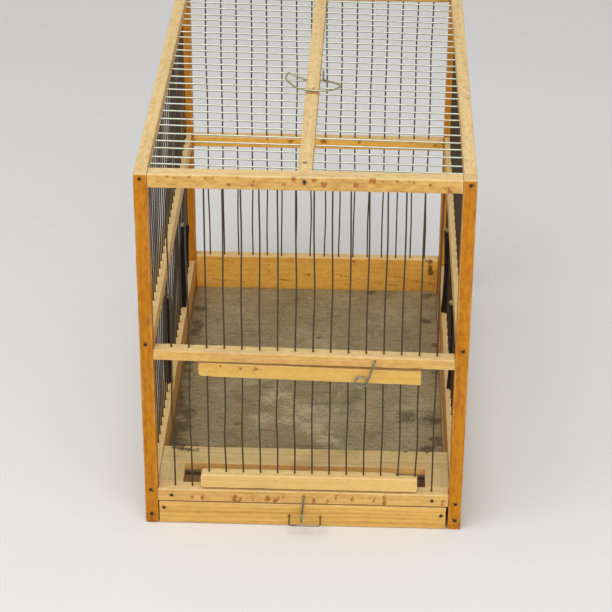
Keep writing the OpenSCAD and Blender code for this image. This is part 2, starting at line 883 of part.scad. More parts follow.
// A wire catch: a leg in the wood, a shank that hangs down and a ring at its end.
// It is drawn about its turning axis, which lies along y.
module catch(shank, ring_turn) {
    bent_wire([[0, catch_leg, 0], [0, -catch_standoff, 0], [0, -catch_standoff, -shank]],
        [catch_bend], bent_r);
    translate([0, -catch_standoff, -shank])
        rotate([0, 0, ring_turn])
            translate([-catch_ring, 0, 0])
                rotate([90, 0, 0])
                    rotate_extrude(angle = -catch_sweep, $fn = 64)
                        translate([catch_ring, 0])
                            circle(r = bent_r, $fn = 24);
}

module door_catch() {
    color(bright_steel)
        placed()
            translate([door_catch_x, 0, door_catch_z])
                rotate([0, door_catch_lean, 0])
                    catch(door_catch_shank, 0);
}

module tray_catch() {
    color(bright_steel)
        placed()
            translate([tray_catch_x, 0, tray_catch_z])
                rotate([0, tray_catch_lean, 0])
                    catch(tray_catch_shank, 90);
}

module tray_front() {
    color(pale)
        placed()
            difference() {
                bar_x(tray_x0, tray_x1, 0, tray_front_depth, tray_lift, tray_lift + tray_front_height);
                for (s = [-1, 1])
                    rod_y(pull_x + s * pull_width / 2, -1, pull_seat + fine, pull_z, bent_r + hole_slack);
                nail_holes(tray_nail_list);
            }
}

module tray_floor() {
    color(grey_wood)
        placed()
            translate([tray_x0, tray_front_depth, tray_floor_z])
                cube([tray_x1 - tray_x0, tray_rear_y - tray_front_depth, tray_floor_t]);
}

module tray_block(x0) {
    color(beech)
        placed()
            difference() {
                bar_y(x0, x0 + tray_block_width, tray_front_depth, tray_front_depth + tray_block_depth,
                    tray_top_z, tray_top_z + tray_block_height);
                nail_holes(tray_nail_list);
            }
}

module tray_left_block() {
    tray_block(tray_x0);
}

module tray_right_block() {
    tray_block(tray_x1 - tray_block_width);
}

module tray_nails() {
    color(dark_steel)
        placed()
            nails(tray_nail_list);
}

module tray_pull() {
    color(bright_steel)
        placed()
            translate([pull_x, 0, pull_z])
                bent_wire([[-pull_width / 2, pull_seat, 0], [-pull_width / 2, -pull_reach, 0],
                    [pull_width / 2, -pull_reach, 0], [pull_width / 2, pull_seat, 0]],
                    [pull_bend, pull_bend], bent_r);
}

// The wire of the handle as it lies: right of the axis, in front of it, above it.
// It starts at the top of the bent-up end, runs through the bar and round the loop.
handle_end_x = roof_bar_width / 2 + 2.6;
handle_path = [[handle_end_x, 0, handle_stub], [handle_end_x, 0, 0], [-roof_bar_width / 2 - 1.8, 0, 0],
    [-20.6, 1.2, 5.9], [-22.4, 11.5, 4.6], [-12, 29.8, 4.7], [3, 34.6, 5], [16.8, 30.6, 4.2],
    [23, 16.4, 2.6], [handle_end_x, 0.2, 0]];
handle_bends = [1.2, 2, 1.6, 13, 16, 20, 14, 4];

module carry_handle() {
    color(bright_steel)
        placed()
            translate([roof_bar_x(handle_y), handle_y, handle_z])
                bent_wire([for (q = handle_path) [q[0], -q[1], q[2]]], handle_bends, bent_r);
}

// The outline of an upright strip from the front. Its inner edge is hollow.
function strip_outline(bow) = concat(
    [for (i = [0 : strip_steps]) [bow * (1 - pow(2 * i / strip_steps - 1, 2)), strip_height * i / strip_steps]],
    [[strip_width, strip_height], [strip_width, 0]]);

// An upright strip behind a side wire. A strip that leans into the cage has a straight edge.
module strip_shape(side, wire, reach, lean) {
    translate([side * (side_wire_x - reach), side_wire_y(wire) + wire_r + strip_gap, strip_z])
        mirror([side < 0 ? 1 : 0, 0, 0])
            rotate([0, -lean, 0])
                translate([0, strip_t, 0])
                    rotate([90, 0, 0])
                        linear_extrude(strip_t)
                            polygon(lean > 0 ?
                                [[0, 0], [0, strip_height], [strip_width, strip_height], [strip_width, 0]] :
                                strip_outline(strip_bow));
}

module perch_strip(side, wire, reach, lean) {
    color(black)
        placed()
            strip_shape(side, wire, reach, lean);
}

module perch_strip_front_left() {
    perch_strip(-1, front_strip_wire, front_strip_reach, 0);
}

module perch_strip_front_right() {
    perch_strip(1, front_strip_wire, front_strip_reach, 0);
}

module perch_strip_rear_left() {
    perch_strip(-1, rear_strip_wire, leaning_strip_reach, strip_lean);
}

module perch_strip_rear_right() {
    perch_strip(1, rear_strip_wire, rear_strip_reach, 0);
}

// The drop of solder that holds the top of a strip to its side wire.
module drop(side, wire, reach, lean) {
    difference() {
        translate([side * (side_wire_x - drop_reach), side_wire_y(wire) + drop_set_back,
            strip_z + strip_height + drop_rise])
            sphere(r = drop_r);
        strip_shape(side, wire, reach, lean);
        rod_z(side * side_wire_x, side_wire_y(wire), strip_z + strip_height - drop_r,
            strip_z + strip_height + 2 * drop_r, wire_r);
    }
}

module strip_solder() {
    color(bright_steel)
        placed() {
            drop(-1, front_strip_wire, front_strip_reach, 0);
            drop(1, front_strip_wire, front_strip_reach, 0);
            drop(-1, rear_strip_wire, leaning_strip_reach, strip_lean);
            drop(1, rear_strip_wire, rear_strip_reach, 0);
        }
}

post_front_left();
post_front_right();
post_rear_left();
post_rear_right();
front_top_rail();
rear_top_rail();
left_top_rail();
right_top_rail();
roof_bar();
front_mid_rail();
rear_mid_rail();
left_mid_rail();
right_mid_rail();
front_bottom_rail();
rear_bottom_board();
left_bottom_board();
right_bottom_board();
ledge_board();
ledge_left_block();
ledge_right_block();
left_runner();
right_runner();
front_wires();
rear_wires();
left_wires();
right_wires();
roof_wires();
door_hinge_wire();
front_nails();
rear_nails();
side_nails();
loose_nail();
door_top_bar();
door_bottom_bar();
door_wires();
door_catch();
tray_front();
tray_floor();
tray_left_block();
tray_right_block();
tray_nails();
tray_pull();
tray_catch();
carry_handle();
perch_strip_front_left();
perch_strip_front_right();
perch_strip_rear_left();
perch_strip_rear_right();
strip_solder();
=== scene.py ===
import math

import bmesh
import bpy
from mathutils import Matrix, Vector, noise


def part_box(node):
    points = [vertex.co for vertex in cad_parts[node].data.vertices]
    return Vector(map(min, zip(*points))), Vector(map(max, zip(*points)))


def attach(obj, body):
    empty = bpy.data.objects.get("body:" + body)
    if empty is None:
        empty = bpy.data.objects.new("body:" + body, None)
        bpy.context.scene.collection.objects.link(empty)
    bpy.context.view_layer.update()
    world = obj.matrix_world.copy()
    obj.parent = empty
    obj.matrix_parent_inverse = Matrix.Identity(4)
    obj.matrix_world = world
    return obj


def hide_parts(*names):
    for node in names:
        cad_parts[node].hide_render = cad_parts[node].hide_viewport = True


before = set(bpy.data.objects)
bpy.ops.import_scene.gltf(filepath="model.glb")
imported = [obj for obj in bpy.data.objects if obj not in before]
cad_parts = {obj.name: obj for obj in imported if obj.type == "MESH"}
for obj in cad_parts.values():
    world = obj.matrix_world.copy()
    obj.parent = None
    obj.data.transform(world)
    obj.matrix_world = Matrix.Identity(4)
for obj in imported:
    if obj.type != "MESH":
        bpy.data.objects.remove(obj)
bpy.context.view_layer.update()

bl_info = {
    "name": "Wooden Bird Cage",
    "version": (1, 0, 0),
    "blender": (4, 5, 0),
    "location": "View3D > Sidebar > Bird Cage",
    "description": "Builds the wood, wires, perch strips and studio of a small wooden bird cage",
    "category": "Add Mesh",
}

# Places on the cage are given in millimetres: to the right of the middle, back from the front face, up.
FRONT_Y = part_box("post_front_left")[0][1]
X, Y, Z = 0, 1, 2

# Levels, faces and widths of the wood, with tilts in degrees.
POST_X = 120.25
POST_FOOT = (121, 2, 1)
ROOF_TOP = 308
TOP_RAIL_FOOT = 297
MID_RAIL_FOOT = 149.4
MID_RAIL_TOP = 158.2
MID_RAIL_TILT = 0.85
REAR_MID_RAIL_TOP = 162.2
REAR_MID_RAIL_FACE = 379
BOTTOM_RAIL_TOP = 32.4
SIDE_BOARD_TOP = 34
REAR_BOARD_TOP = 38
REAR_BOARD_FACE = 380
DOOR_BAR_FOOT = 134.9
DOOR_BAR_TOP = 147.1
DOOR_BAR_TILT = 1.3
DOOR_FACE = 1
CHIP_CORNER = (72.5, 7.3, 38.3)
LOWER_BAR_TOP = 46.2
TRAY_FLOOR_TOP = 5.5
# Where the floor band under the slot ends: cleaner floor with painted light in front, painted shadow behind.
CLEAN_LIT_FLOOR_END = 60
ROOF_BAR_WIDTH = 10.6

# The upright wires, the levels between which the middle rails hold them, and those beside the perch strips,
# on the door's hinge and in the door.
WIRE_Y = 6
REAR_WIRE_Y = 384
FIRST_WIRE_X = -101.25
WIRE_PITCH = 13.5
SIDE_WIRES_START = 12
SIDE_WIRE_PITCH = 366 / 28
WIRE_HEAD = 300.2
WIRE_DEPTH = 4
FRONT_GRIP = (147, 161)
REAR_GRIP = (152, REAR_MID_RAIL_TOP)
SIDE_GRIP = (152, 167)
DOOR_SPAN = (LOWER_BAR_TOP, 133)
DOOR_WIRE_ENDS = (36.2, 142.9)
STRIP_WIRES = (11, 21)
HINGE_WIRE = 2
DOOR_WIRES = slice(3, 15)

# Stains round nails, and painted shade round wire, catch and pull holes: radius in metres, and strength.
NAIL_STAIN = (0.0021, 0.55)
WIRE_RIM = (0.0012, 0.5)
SIDE_WIRE_RIM = (0.0013, 0.5)
DOOR_CATCH_RIM = (0.0016, 0.5)
TRAY_CATCH_RIM = (0.0015, 0.5)
PULL_RIM = (0.0014, 0.4)
POST_FOOT_STAIN = (0.006, 0.45)

# Cuts near the edges, the worn band along them, the depth of the paler top skin (partly real fading, partly
# painted light from above), and the radius of a crisp edge, of a door bar's hinge end and lower right corner
# and of a perch strip's edges, in metres.
EDGE_CUTS = (0.0011, 0.0022)
EDGE_BAND = 0.0021
TOP_FADE_AND_LIGHT_DEPTH = 0.0006
CRISP_EDGE = 0.0003
HINGE_END = 0.0027
LOWER_CORNER = 0.0018
STRIP_EDGE = 0.0004

# How many radii a spot takes to fade out, the spots' distance in a scratch in millimetres, and in radians the
# turn from the rings of one stick to those of the next and the least turn of a sharp edge.
SPOT_SPREAD = 1.6
SCRATCH_STEP = 1.5
GOLDEN_ANGLE = 2.399
SHARP_TURN = 0.7

# The photograph's camera, as solved from the cage's corners: the focal length in pixels, the place and the
# turns down, to the left and about its own line, in degrees.
PICTURE_WIDTH = 612
SENSOR_WIDTH = 36.0
FOCAL_PIXELS = 2085.7585
CAMERA_PLACE = (42.592, -1356.2637, 971.128)
CAMERA_TURNS = (29.569, 1.739, 0.373)


def at(x, y, z):
    """A place on the cage, in metres in the frame of the CAD model."""
    return Vector((x / 1000, FRONT_Y + y / 1000, z / 1000))


def hue(red, green, blue):
    """A colour as it is read off a picture, from 0 to 255, as linear light."""
    channels = []
    for value in (red, green, blue):
        part = value / 255
        channels.append(part / 12.92 if part <= 0.04045 else ((part + 0.055) / 1.055) ** 2.4)
    return (*channels, 1.0)


# Nails, catches and the pull on the front: the levels of the posts' nails, and x and z of the others.
POST_NAILS = {"post_front_left": (304, 164.4, 31.4, 8.5), "post_front_right": (304, 164.4, 24.1, 8.5)}
TOP_RAIL_NAILS = ((-0.35, 304.4),)
BOTTOM_RAIL_NAILS = ((-103.95, 26.8), (101.7, 27.1))
TRAY_NAILS = ((-110.3, 14.7), (109.2, 12.9))
DOOR_CATCH = (53.9, 154.2)
TRAY_CATCH = (0.9, 28.5)
PULL_ENDS = ((-10.7, 9.7), (13.9, 9.7))

# Spots on faces that look forwards: x, z and radius.
TOP_RAIL_FLECKS = (
    (-100, 306.3, 1.4), (-95, 305.6, 1.3), (-83.7, 306.4, 1.4), (-80.5, 303.1, 0.9), (-72.9, 306.2, 1.3),
    (-67.1, 306.2, 1.6), (-55.5, 300.9, 1.6), (-48.8, 306.6, 1.1), (-38.3, 300.7, 1.6), (-37, 304.1, 1.1),
    (-23.8, 306.9, 1.1), (-15.5, 302.2, 1.6), (-8, 306.6, 2.4), (6.9, 305.6, 2.1), (14.1, 302.4, 2.8),
    (27.6, 306.4, 1.3), (37.4, 302.4, 2.4), (49.2, 306.4, 2.7), (55.9, 306.1, 1.4), (66.6, 306.2, 1.3),
    (75.4, 306.2, 1.3), (79.1, 305.4, 1.1), (90.7, 304.1, 1.4), (103.3, 300.7, 2.4), (105, 298.9, 1.7),
)
BOTTOM_RAIL_FLECKS = (
    (-88.1, 25, 1.6), (-79.2, 25.8, 2.2), (-53.9, 24.9, 2.5), (-49.7, 23.6, 1.8), (-39.7, 24.9, 1.1),
    (-27.7, 25.3, 2.8), (-22.2, 23.3, 2.5), (-20, 25.5, 1.5), (-15.7, 27.7, 1.1), (8, 24.2, 1.8),
    (18.9, 23.5, 1.8), (26.3, 28.5, 1.5), (39.1, 27.2, 1.8), (56.2, 26.7, 1.5), (64.5, 24.8, 2.2),
    (64.3, 30.4, 1.5), (110.1, 25.1, 1.8),
)
DOOR_FLECKS = (
    (-48.5, 144.7, 1.7), (-63.7, 146.3, 1.3), (-38.9, 144.2, 1.3), (-36.4, 145, 1.2), (-34.3, 144.3, 1.2),
    (-38.9, 140.7, 1), (-37.3, 142.3, 0.9),
)
MID_RAIL_FLECKS = ((55.9, 153.2, 1.7), (58.7, 152.8, 2.1), (60.9, 152.7, 1.4), (-56.9, 156.3, 1))
REAR_RAIL_FLECKS = (
    (-62.3, 161.6, 1.4), (-46.1, 160.8, 1.8), (-25.5, 159, 3), (5, 160.2, 3), (37.6, 159.4, 1.8),
    (108, 157.6, 2.5),
)
REAR_BOARD_SPOTS = (
    (-45.9, 29.2, 1.4), (-7.8, 20.2, 1.3), (107, 36.9, 2.2), (106.8, 31.6, 1.8), (107.9, 24.7, 2.9),
    (102.6, 37.4, 1.6), (34.5, 34.8, 1.4), (106.8, 34.2, 1.7), (107.3, 28.4, 1.8),
)

# Scratches across the rear board, each from x and z to x and z.
REAR_BOARD_SCRATCHES = (
    (-93, 34.5, -80, 31), (-53, 27.6, -42, 20.7), (-46, 17, -20, 11.5), (17, 20.7, 41, 16),
    (35, 35, 37.4, 31), (69, 20.7, 112, 11.5), (-105, 14, -70, 10), (50, 13, 78, 10), (-12, 20, 2, 18.5),
)

# Spots on faces that look up: x, y and radius, and the strength where they differ.
LEDGE_STAINS = (
    (-101.2, 59, 3.6), (-94.9, 57.6, 3), (-88.6, 56.3, 2.6), (-106, 60, 3), (81.3, 61.4, 1.8),
    (98.9, 61.4, 1.8),
)
SIDE_RAIL_SPOTS = (
    (118.6, 272.8, 1.1), (120, 257.9, 1), (120.4, 238.3, 0.9), (120, 168, 0.9), (122, 145.7, 0.9),
    (117.4, 298.3, 0.9), (122.1, 204.9, 0.8),
)
ROOF_BAR_SCUFFS = ((-4, 151.5, 2.2), (-1.5, 151.5, 2.2), (1, 151.5, 2.2), (3.5, 151.5, 2.2))
ROOF_BAR_SPOTS = (
    (-0.6, 25, 1.7, 0.9), (0.7, 160.2, 1.4, 0.9), (-2.5, 92.7, 1, 0.6), (-1.7, 272.2, 0.9, 0.7),
)
TRAY_STAINS = (
    (-108, 134, 9), (-104, 155, 7), (-107, 107, 6), (-100, 100, 9), (-109, 290, 7), (-108, 306, 6),
    (-109, 336, 6), (106, 370, 6), (52.7, 373, 4), (51, 299, 5), (5.6, 288, 3.4), (103, 321, 4.5),
    (112, 278, 4), (107, 154, 8), (84, 157, 10), (111, 232, 5), (-77, 146, 3), (-60, 140, 3), (110, 120, 7),
    (100, 105, 6), (94, 56, 6), *((-113, y, 6) for y in range(70, 270, 14)),
)
TRAY_SCRAPES = (
    (-16, 149, 9), (-8, 163, 11), (-27, 181, 14), (2, 136, 12), (-40, 148, 10), (89, 150, 3.4),
    (0, 230, 12), (20, 120, 12), (-15, 292, 1),
)


class CageSizes(bpy.types.PropertyGroup):
    """Sizes of the finish that the CAD model leaves plain."""

    edge: bpy.props.FloatProperty(
        name="Rounded edge", description="Radius of the edges of the wood", default=0.0007, unit="LENGTH")
    rub: bpy.props.FloatProperty(
        name="Rubbed depth", description="How far the edges are worn away", default=0.00028, unit="LENGTH")
    shrink: bpy.props.FloatProperty(
        name="Joint gap", description="How far wood stays inside its CAD box", default=0.00005, unit="LENGTH")
    coarse: bpy.props.FloatProperty(
        name="Coarse slice", description="Spacing of cuts in a plain stick", default=0.006, unit="LENGTH")
    fine: bpy.props.FloatProperty(
        name="Fine slice", description="Spacing of cuts in a spotted stick", default=0.0014, unit="LENGTH")
    wander: bpy.props.FloatProperty(
        name="Wire wander", description="How far a wire strays from straight", default=0.001, unit="LENGTH")
    wire: bpy.props.FloatProperty(
        name="Wire radius", description="Radius of an upright wire", default=0.00065, unit="LENGTH")


def swatch(label, words, red, green, blue):
    """A colour that a user may change."""
    return bpy.props.FloatVectorProperty(
        name=label, description=words, size=4, subtype="COLOR", min=0, max=1, default=hue(red, green, blue))


class CageColours(bpy.types.PropertyGroup):
    """Colours of the cage's woods, wires and plastic."""

    post: swatch("Post", "Varnished posts", 192, 126, 18)
    post_dark: swatch("Post grain", "Dark grain of the posts", 158, 84, 4)
    top: swatch("Top rail", "Pale beech of the top frame and the roof bar", 210, 168, 92)
    top_dark: swatch("Top rail grain", "Dark grain of the top frame", 180, 124, 52)
    rail: swatch("Rail", "Beech of the middle and bottom rails", 216, 174, 98)
    rail_dark: swatch("Rail grain", "Dark grain of the rails", 188, 136, 64)
    board: swatch("Board", "Side boards", 214, 164, 92)
    board_dark: swatch("Board grain", "Dark grain of the side boards", 180, 122, 54)
    rear: swatch("Rear board", "Orange board across the rear", 244, 188, 84)
    rear_dark: swatch("Rear board grain", "Dark grain of the rear board", 212, 142, 50)
    door: swatch("Upper door bar", "Upper bar of the door", 214, 172, 86)
    door_dark: swatch("Upper door bar grain", "Dark grain of the upper door bar", 196, 144, 56)
    foot: swatch("Lower door bar", "Paler lower bar of the door", 226, 188, 116)
    foot_dark: swatch("Lower door bar grain", "Dark grain of the lower door bar", 208, 160, 82)
    pine: swatch("Tray front", "Striped softwood of the tray front", 222, 178, 92)
    pine_dark: swatch("Tray front grain", "Dark grain of the tray front", 186, 134, 54)
    ledge: swatch("Ledge", "Bare weathered ledge", 214, 190, 130)
    ledge_dark: swatch("Ledge grain", "Dark grain of the ledge", 190, 156, 98)
    # Partly the orange cut wood, partly painted light: brightened to light the shaded far wall of the slot.
    side: swatch("Ledge side", "Orange cut sides of the ledge", 244, 200, 124)
    side_dark: swatch("Ledge side grain", "Dark grain of the ledge's sides", 220, 170, 94)
    fleck: swatch("Fleck", "Brown flecks in the beech", 146, 78, 12)
    dirt: swatch("Dirt", "Dust and handling marks on the wood", 120, 92, 52)
    # Real stains round nails, and painted shade round wire holes and under the ledge.
    grime: swatch("Grime", "Dark stains round nails and wires", 62, 42, 26)
    # Worn edges, and the paler top faces: partly real fading and partly painted light from above.
    bare_and_top_lit: swatch("Worn wood", "Bare wood where edges are rubbed", 234, 210, 154)
    bare_and_top_lit_dark: swatch("Worn wood grain", "Dark grain of the worn wood", 212, 180, 118)
    # Partly real tarnish and partly painted shade: darkened for the dark surroundings that upright wires
    # reflect.
    wire: swatch("Wire", "Dull upright wires", 84, 72, 56)
    bright: swatch("Bright wire", "Roof wires", 184, 186, 172)
    tarnish: swatch("Tarnish", "Brown tarnish on the wires", 66, 50, 34)
    aged: swatch("Aged wire", "Olive grey wire of the handle", 172, 168, 134)
    catch: swatch("Catch wire", "Grey wire of the catches and the pull", 138, 136, 124)
    solder: swatch("Solder", "Dull solder on the strips", 142, 134, 96)
    nail: swatch("Nail", "Dark nail heads", 52, 38, 40)
    pin: swatch("Loose pin", "Yellowish pin in the right post", 206, 176, 96)
    plastic: swatch("Plastic", "Black perch strips", 11, 11, 12)
    dust: swatch("Dust", "Dust on the perch strips", 132, 124, 108)
    scuff: swatch("Scuff", "Scuffs on the perch strips", 96, 94, 92)
    floor: swatch("Tray floor", "Weathered panel of the tray", 146, 129, 92)
    floor_dark: swatch("Tray floor stain", "Dark stains on the tray floor", 66, 54, 36)
    floor_pale: swatch("Tray floor scrape", "Pale scraped places on the tray floor", 192, 178, 138)
    # Partly the real cleaner floor under the ledge, partly painted light that falls through the slot.
    floor_clean_and_lit: swatch("Clean tray floor", "Brown tray floor that the ledge has kept clean", 224, 182, 116)
    husk: swatch("Husk", "Pale husks on the tray floor", 196, 182, 138)
    backdrop: swatch("Backdrop", "Studio floor and background", 226, 225, 222)


def shade(key):
    """One of the cage's colours, as the user has set it."""
    return tuple(getattr(bpy.context.scene.cage_colours, key))


class Net:
    """A node tree that is built line by line."""

    def __init__(self, tree):
        self.tree = tree

    def node(self, kind, feeds=None, **settings):
        """A new node with its settings, and with values or sockets for its inputs."""
        made = self.tree.nodes.new(kind)
        for key, value in settings.items():
            setattr(made, key, value)
        for key, value in (feeds or {}).items():
            if isinstance(value, bpy.types.NodeSocket):
                self.tree.links.new(value, made.inputs[key])
            else:
                made.inputs[key].default_value = value
        return made

    def math(self, operation, *values, clamp=False):
        feeds = dict(enumerate(values))
        return self.node("ShaderNodeMath", feeds, operation=operation, use_clamp=clamp).outputs[0]

    def plus(self, first, second, clamp=False):
        return self.math("ADD", first, second, clamp=clamp)

    def minus(self, first, second):
        return self.math("SUBTRACT", first, second)

    def times(self, first, second):
        return self.math("MULTIPLY", first, second)

    def vector(self, operation, feeds):
        return self.node("ShaderNodeVectorMath", feeds, operation=operation).outputs[0]

    def scaled(self, vector, scale):
        """A vector times one number, or times one for each axis."""
        factors = scale if isinstance(scale, tuple) else (scale,) * 3
        return self.vector("MULTIPLY", {0: vector, 1: factors})

    def shifted(self, vector, shift):
        return self.vector("ADD", {0: vector, 1: shift})

    def mask(self, value, low, high):
        """0 below low, 1 above high, smooth between. Low may be the higher one."""
        feeds = {"Value": value, "From Min": low, "From Max": high}
        return self.node("ShaderNodeMapRange", feeds, interpolation_type="SMOOTHSTEP").outputs[0]

    def mix(self, factor, first, second):
        feeds = {0: factor, 6: first, 7: second}
        return self.node("ShaderNodeMix", feeds, data_type="RGBA").outputs[2]

    def tint(self, base, mask, strength, key):
        """One of the cage's colours over the base, as strong as the mask times the strength."""
        return self.mix(self.times(mask, strength), base, shade(key))

    def cloud(self, vector, detail=2.0, roughness=0.5, colour=False):
        feeds = {"Vector": vector, "Scale": 1.0, "Detail": detail, "Roughness": roughness}
        return self.node("ShaderNodeTexNoise", feeds).outputs[1 if colour else 0]

    def cells(self, vector):
        """The distance from the middle of the nearest cell, and a random number for each cell."""
        made = self.node("ShaderNodeTexVoronoi", {"Vector": vector, "Scale": 1.0})
        return made.outputs["Distance"], self.parts(made.outputs["Color"])[0]

    def parts(self, vector):
        return self.node("ShaderNodeSeparateXYZ", {0: vector}).outputs

    def place(self):
        return self.node("ShaderNodeTexCoord").outputs["Object"]

    def painted(self, name, output="Vector"):
        """What paint() wrote on the mesh under that name."""
        return self.node("ShaderNodeAttribute", attribute_name=name).outputs[output]

    def bump(self, height, strength, distance):
        feeds = {"Height": height, "Strength": strength, "Distance": distance}
        return self.node("ShaderNodeBump", feeds).outputs[0]

    def group(self, tree, feeds):
        return self.node("ShaderNodeGroup", feeds, node_tree=tree).outputs

    def surface(self, feeds):
        """Ends a material in its shader and its output."""
        shader = self.node("ShaderNodeBsdfPrincipled", feeds)
        self.node("ShaderNodeOutputMaterial", {0: shader.outputs[0]})


def open_group(name, inputs):
    """A new node group with named inputs: its net, and the sockets that its inputs come from."""
    tree = bpy.data.node_groups.new(name, "ShaderNodeTree")
    for label, kind in inputs.items():
        tree.interface.new_socket(label, in_out="INPUT", socket_type="NodeSocket" + kind)
    net = Net(tree)
    return net, net.node("NodeGroupInput").outputs


def close_group(net, values):
    """Gives a node group its outputs, each a number, and returns it."""
    for label in values:
        net.tree.interface.new_socket(label, in_out="OUTPUT", socket_type="NodeSocketFloat")
    net.node("NodeGroupOutput", values)
    return net.tree


def wood_figure():
    """Rings, fibres, broad streaks, ray flecks and mottling of a sawn stick, from its stock coordinates."""
    name = "Wood figure"
    if name in bpy.data.node_groups:
        return bpy.data.node_groups[name]
    net, start = open_group(
        name, {"Stock": "Vector", "Ring Width": "Float", "Warp": "Float", "Fleck Amount": "Float"})
    stock = start["Stock"]
    drift = net.cloud(net.scaled(stock, (7.0, 34.0, 34.0)), detail=3.0, colour=True)
    drift = net.shifted(drift, (-0.5, -0.5, -0.5))
    warped = net.shifted(stock, net.vector("SCALE", {0: drift, "Scale": start["Warp"]}))
    _, side, depth = net.parts(warped)
    radius = net.math("SQRT", net.plus(net.times(side, side), net.times(depth, depth)))
    turns = net.math("FRACT", net.math("DIVIDE", radius, start["Ring Width"]))
    distance, lot = net.cells(net.scaled(warped, (230.0, 900.0, 900.0)))
    chosen = net.math("LESS_THAN", lot, start["Fleck Amount"])
    return close_group(net, {
        "Rings": net.times(net.mask(turns, 0.25, 0.9), net.mask(turns, 1.0, 0.92)),
        "Fibre": net.cloud(net.scaled(warped, (16.0, 1300.0, 1300.0)), detail=3.0, roughness=0.65),
        "Streak": net.cloud(net.scaled(warped, (6.0, 190.0, 190.0))),
        "Flecks": net.times(net.mask(distance, 0.42, 0.18), chosen),
        "Mottle": net.cloud(net.scaled(stock, (150.0, 330.0, 330.0)), detail=4.0, roughness=0.6)})


def handling_and_shade():
    """Rubbed edges, settled dust, spots, grime and painted shade, from a place and the painted touch values.
    """
    name = "Handling"
    if name in bpy.data.node_groups:
        return bpy.data.node_groups[name]
    net, start = open_group(name, {"Place": "Vector", "Touch": "Vector", "Dirt Scale": "Float"})
    place = start["Place"]
    edge, spot, grime = net.parts(start["Touch"])
    slow = net.cloud(net.scaled(place, 38.0))
    broad = net.vector("SCALE", {0: place, "Scale": start["Dirt Scale"]})
    dust = net.mask(net.cloud(broad, detail=5.0, roughness=0.62), 0.5, 0.72)
    specks = net.mask(net.cloud(net.scaled(place, 720.0), detail=1.0), 0.69, 0.76)
    ragged = net.cloud(net.scaled(place, (520.0, 520.0, 260.0)), detail=3.0, roughness=0.6)
    ragged = net.times(net.minus(ragged, 0.5), 1.9)
    spot = net.plus(spot, net.times(ragged, net.mask(spot, 0.0, 0.2)))
    grime = net.plus(grime, net.times(ragged, net.mask(grime, 0.0, 0.2)))
    return close_group(net, {
        "Worn": net.mask(net.plus(edge, net.times(net.minus(slow, 0.5), 1.6)), 0.45, 1.05),
        "Dirt": net.math("MAXIMUM", dust, net.times(specks, 0.7)),
        "Spot": net.mask(spot, 0.2, 0.75),
        "Grime": net.mask(grime, 0.15, 0.85)})


def tarnish_group():
    """Brown tarnish of a wire in patches and dots, and its fine grain, from a place."""
    name = "Wire tarnish"
    if name in bpy.data.node_groups:
        return bpy.data.node_groups[name]
    net, start = open_group(name, {"Place": "Vector", "Amount": "Float"})
    patches = net.cloud(net.scaled(start["Place"], 70.0), detail=4.0, roughness=0.7)
    dots = net.cloud(net.scaled(start["Place"], 640.0))
    level = net.minus(1.0, start["Amount"])
    patches = net.mask(patches, level, net.plus(level, 0.22))
    specks = net.times(net.mask(dots, 0.62, 0.7), start["Amount"])
    return close_group(net, {"Tarnish": net.math("MAXIMUM", patches, specks), "Grain": dots})


def new_material(name):
    """An empty material and its net."""
    material = bpy.data.materials.new(name)
    material.use_nodes = True
    material.node_tree.nodes.clear()
    return material, Net(material.node_tree)


def wood(name, key, ring, rings, flecks, dirt, faded_and_lit, fibre=0.6, streak=0.5, fleck_depth=0.3, worn=0.3,
         rough=0.5, warp=0.004, coat=0.0, gloss=0.4, mottle=0.4, top="bare_and_top_lit"):
    """A sawn, planed and handled wood. The strengths say how much each effect shows."""
    if name in bpy.data.materials:
        return bpy.data.materials[name]
    material, net = new_material(name)
    figure = net.group(wood_figure(), {
        "Stock": net.painted("stock"), "Ring Width": ring, "Warp": warp, "Fleck Amount": flecks})
    hands_and_shade = net.group(handling_and_shade(), {
        "Place": net.place(), "Touch": net.painted("touch"), "Dirt Scale": 22.0})
    tone = net.times(figure["Rings"], rings)
    for label, middle, strength in (
            ("Fibre", 0.5, fibre), ("Streak", 0.42, 2 * streak), ("Mottle", 0.5, 3 * mottle)):
        tone = net.plus(tone, net.times(net.minus(figure[label], middle), strength))
    tone = net.plus(tone, 0.15, clamp=True)
    colour = net.mix(tone, shade(key), shade(key + "_dark"))
    above = net.mix(tone, shade(top), shade(top + "_dark"))
    # Top faces take the paler colour: partly real fading, partly painted light from above.
    colour = net.mix(net.times(net.painted("fade", "Fac"), faded_and_lit), colour, above)
    for mask, strength, over in (
            (figure["Flecks"], fleck_depth, "fleck"),
            (hands_and_shade["Dirt"], dirt, "dirt"),
            (hands_and_shade["Worn"], worn, "bare_and_top_lit"),
            (hands_and_shade["Spot"], 0.82, "fleck"),
            # grime, and painted shade round wire holes
            (hands_and_shade["Grime"], 0.9, "grime")):
        colour = net.tint(colour, mask, strength, over)
    roughness = net.plus(net.times(figure["Fibre"], 0.22), rough - 0.1)
    roughness = net.plus(roughness, net.times(hands_and_shade["Worn"], 0.12), clamp=True)
    height = net.plus(net.times(figure["Fibre"], 0.7), net.times(figure["Rings"], -0.25))
    height = net.minus(height, net.times(figure["Flecks"], 0.2))
    net.surface({
        "Base Color": colour, "Roughness": roughness, "Normal": net.bump(height, 0.35, 0.00025),
        "Coat Weight": coat, "Coat Roughness": 0.35, "Specular IOR Level": gloss})
    return material


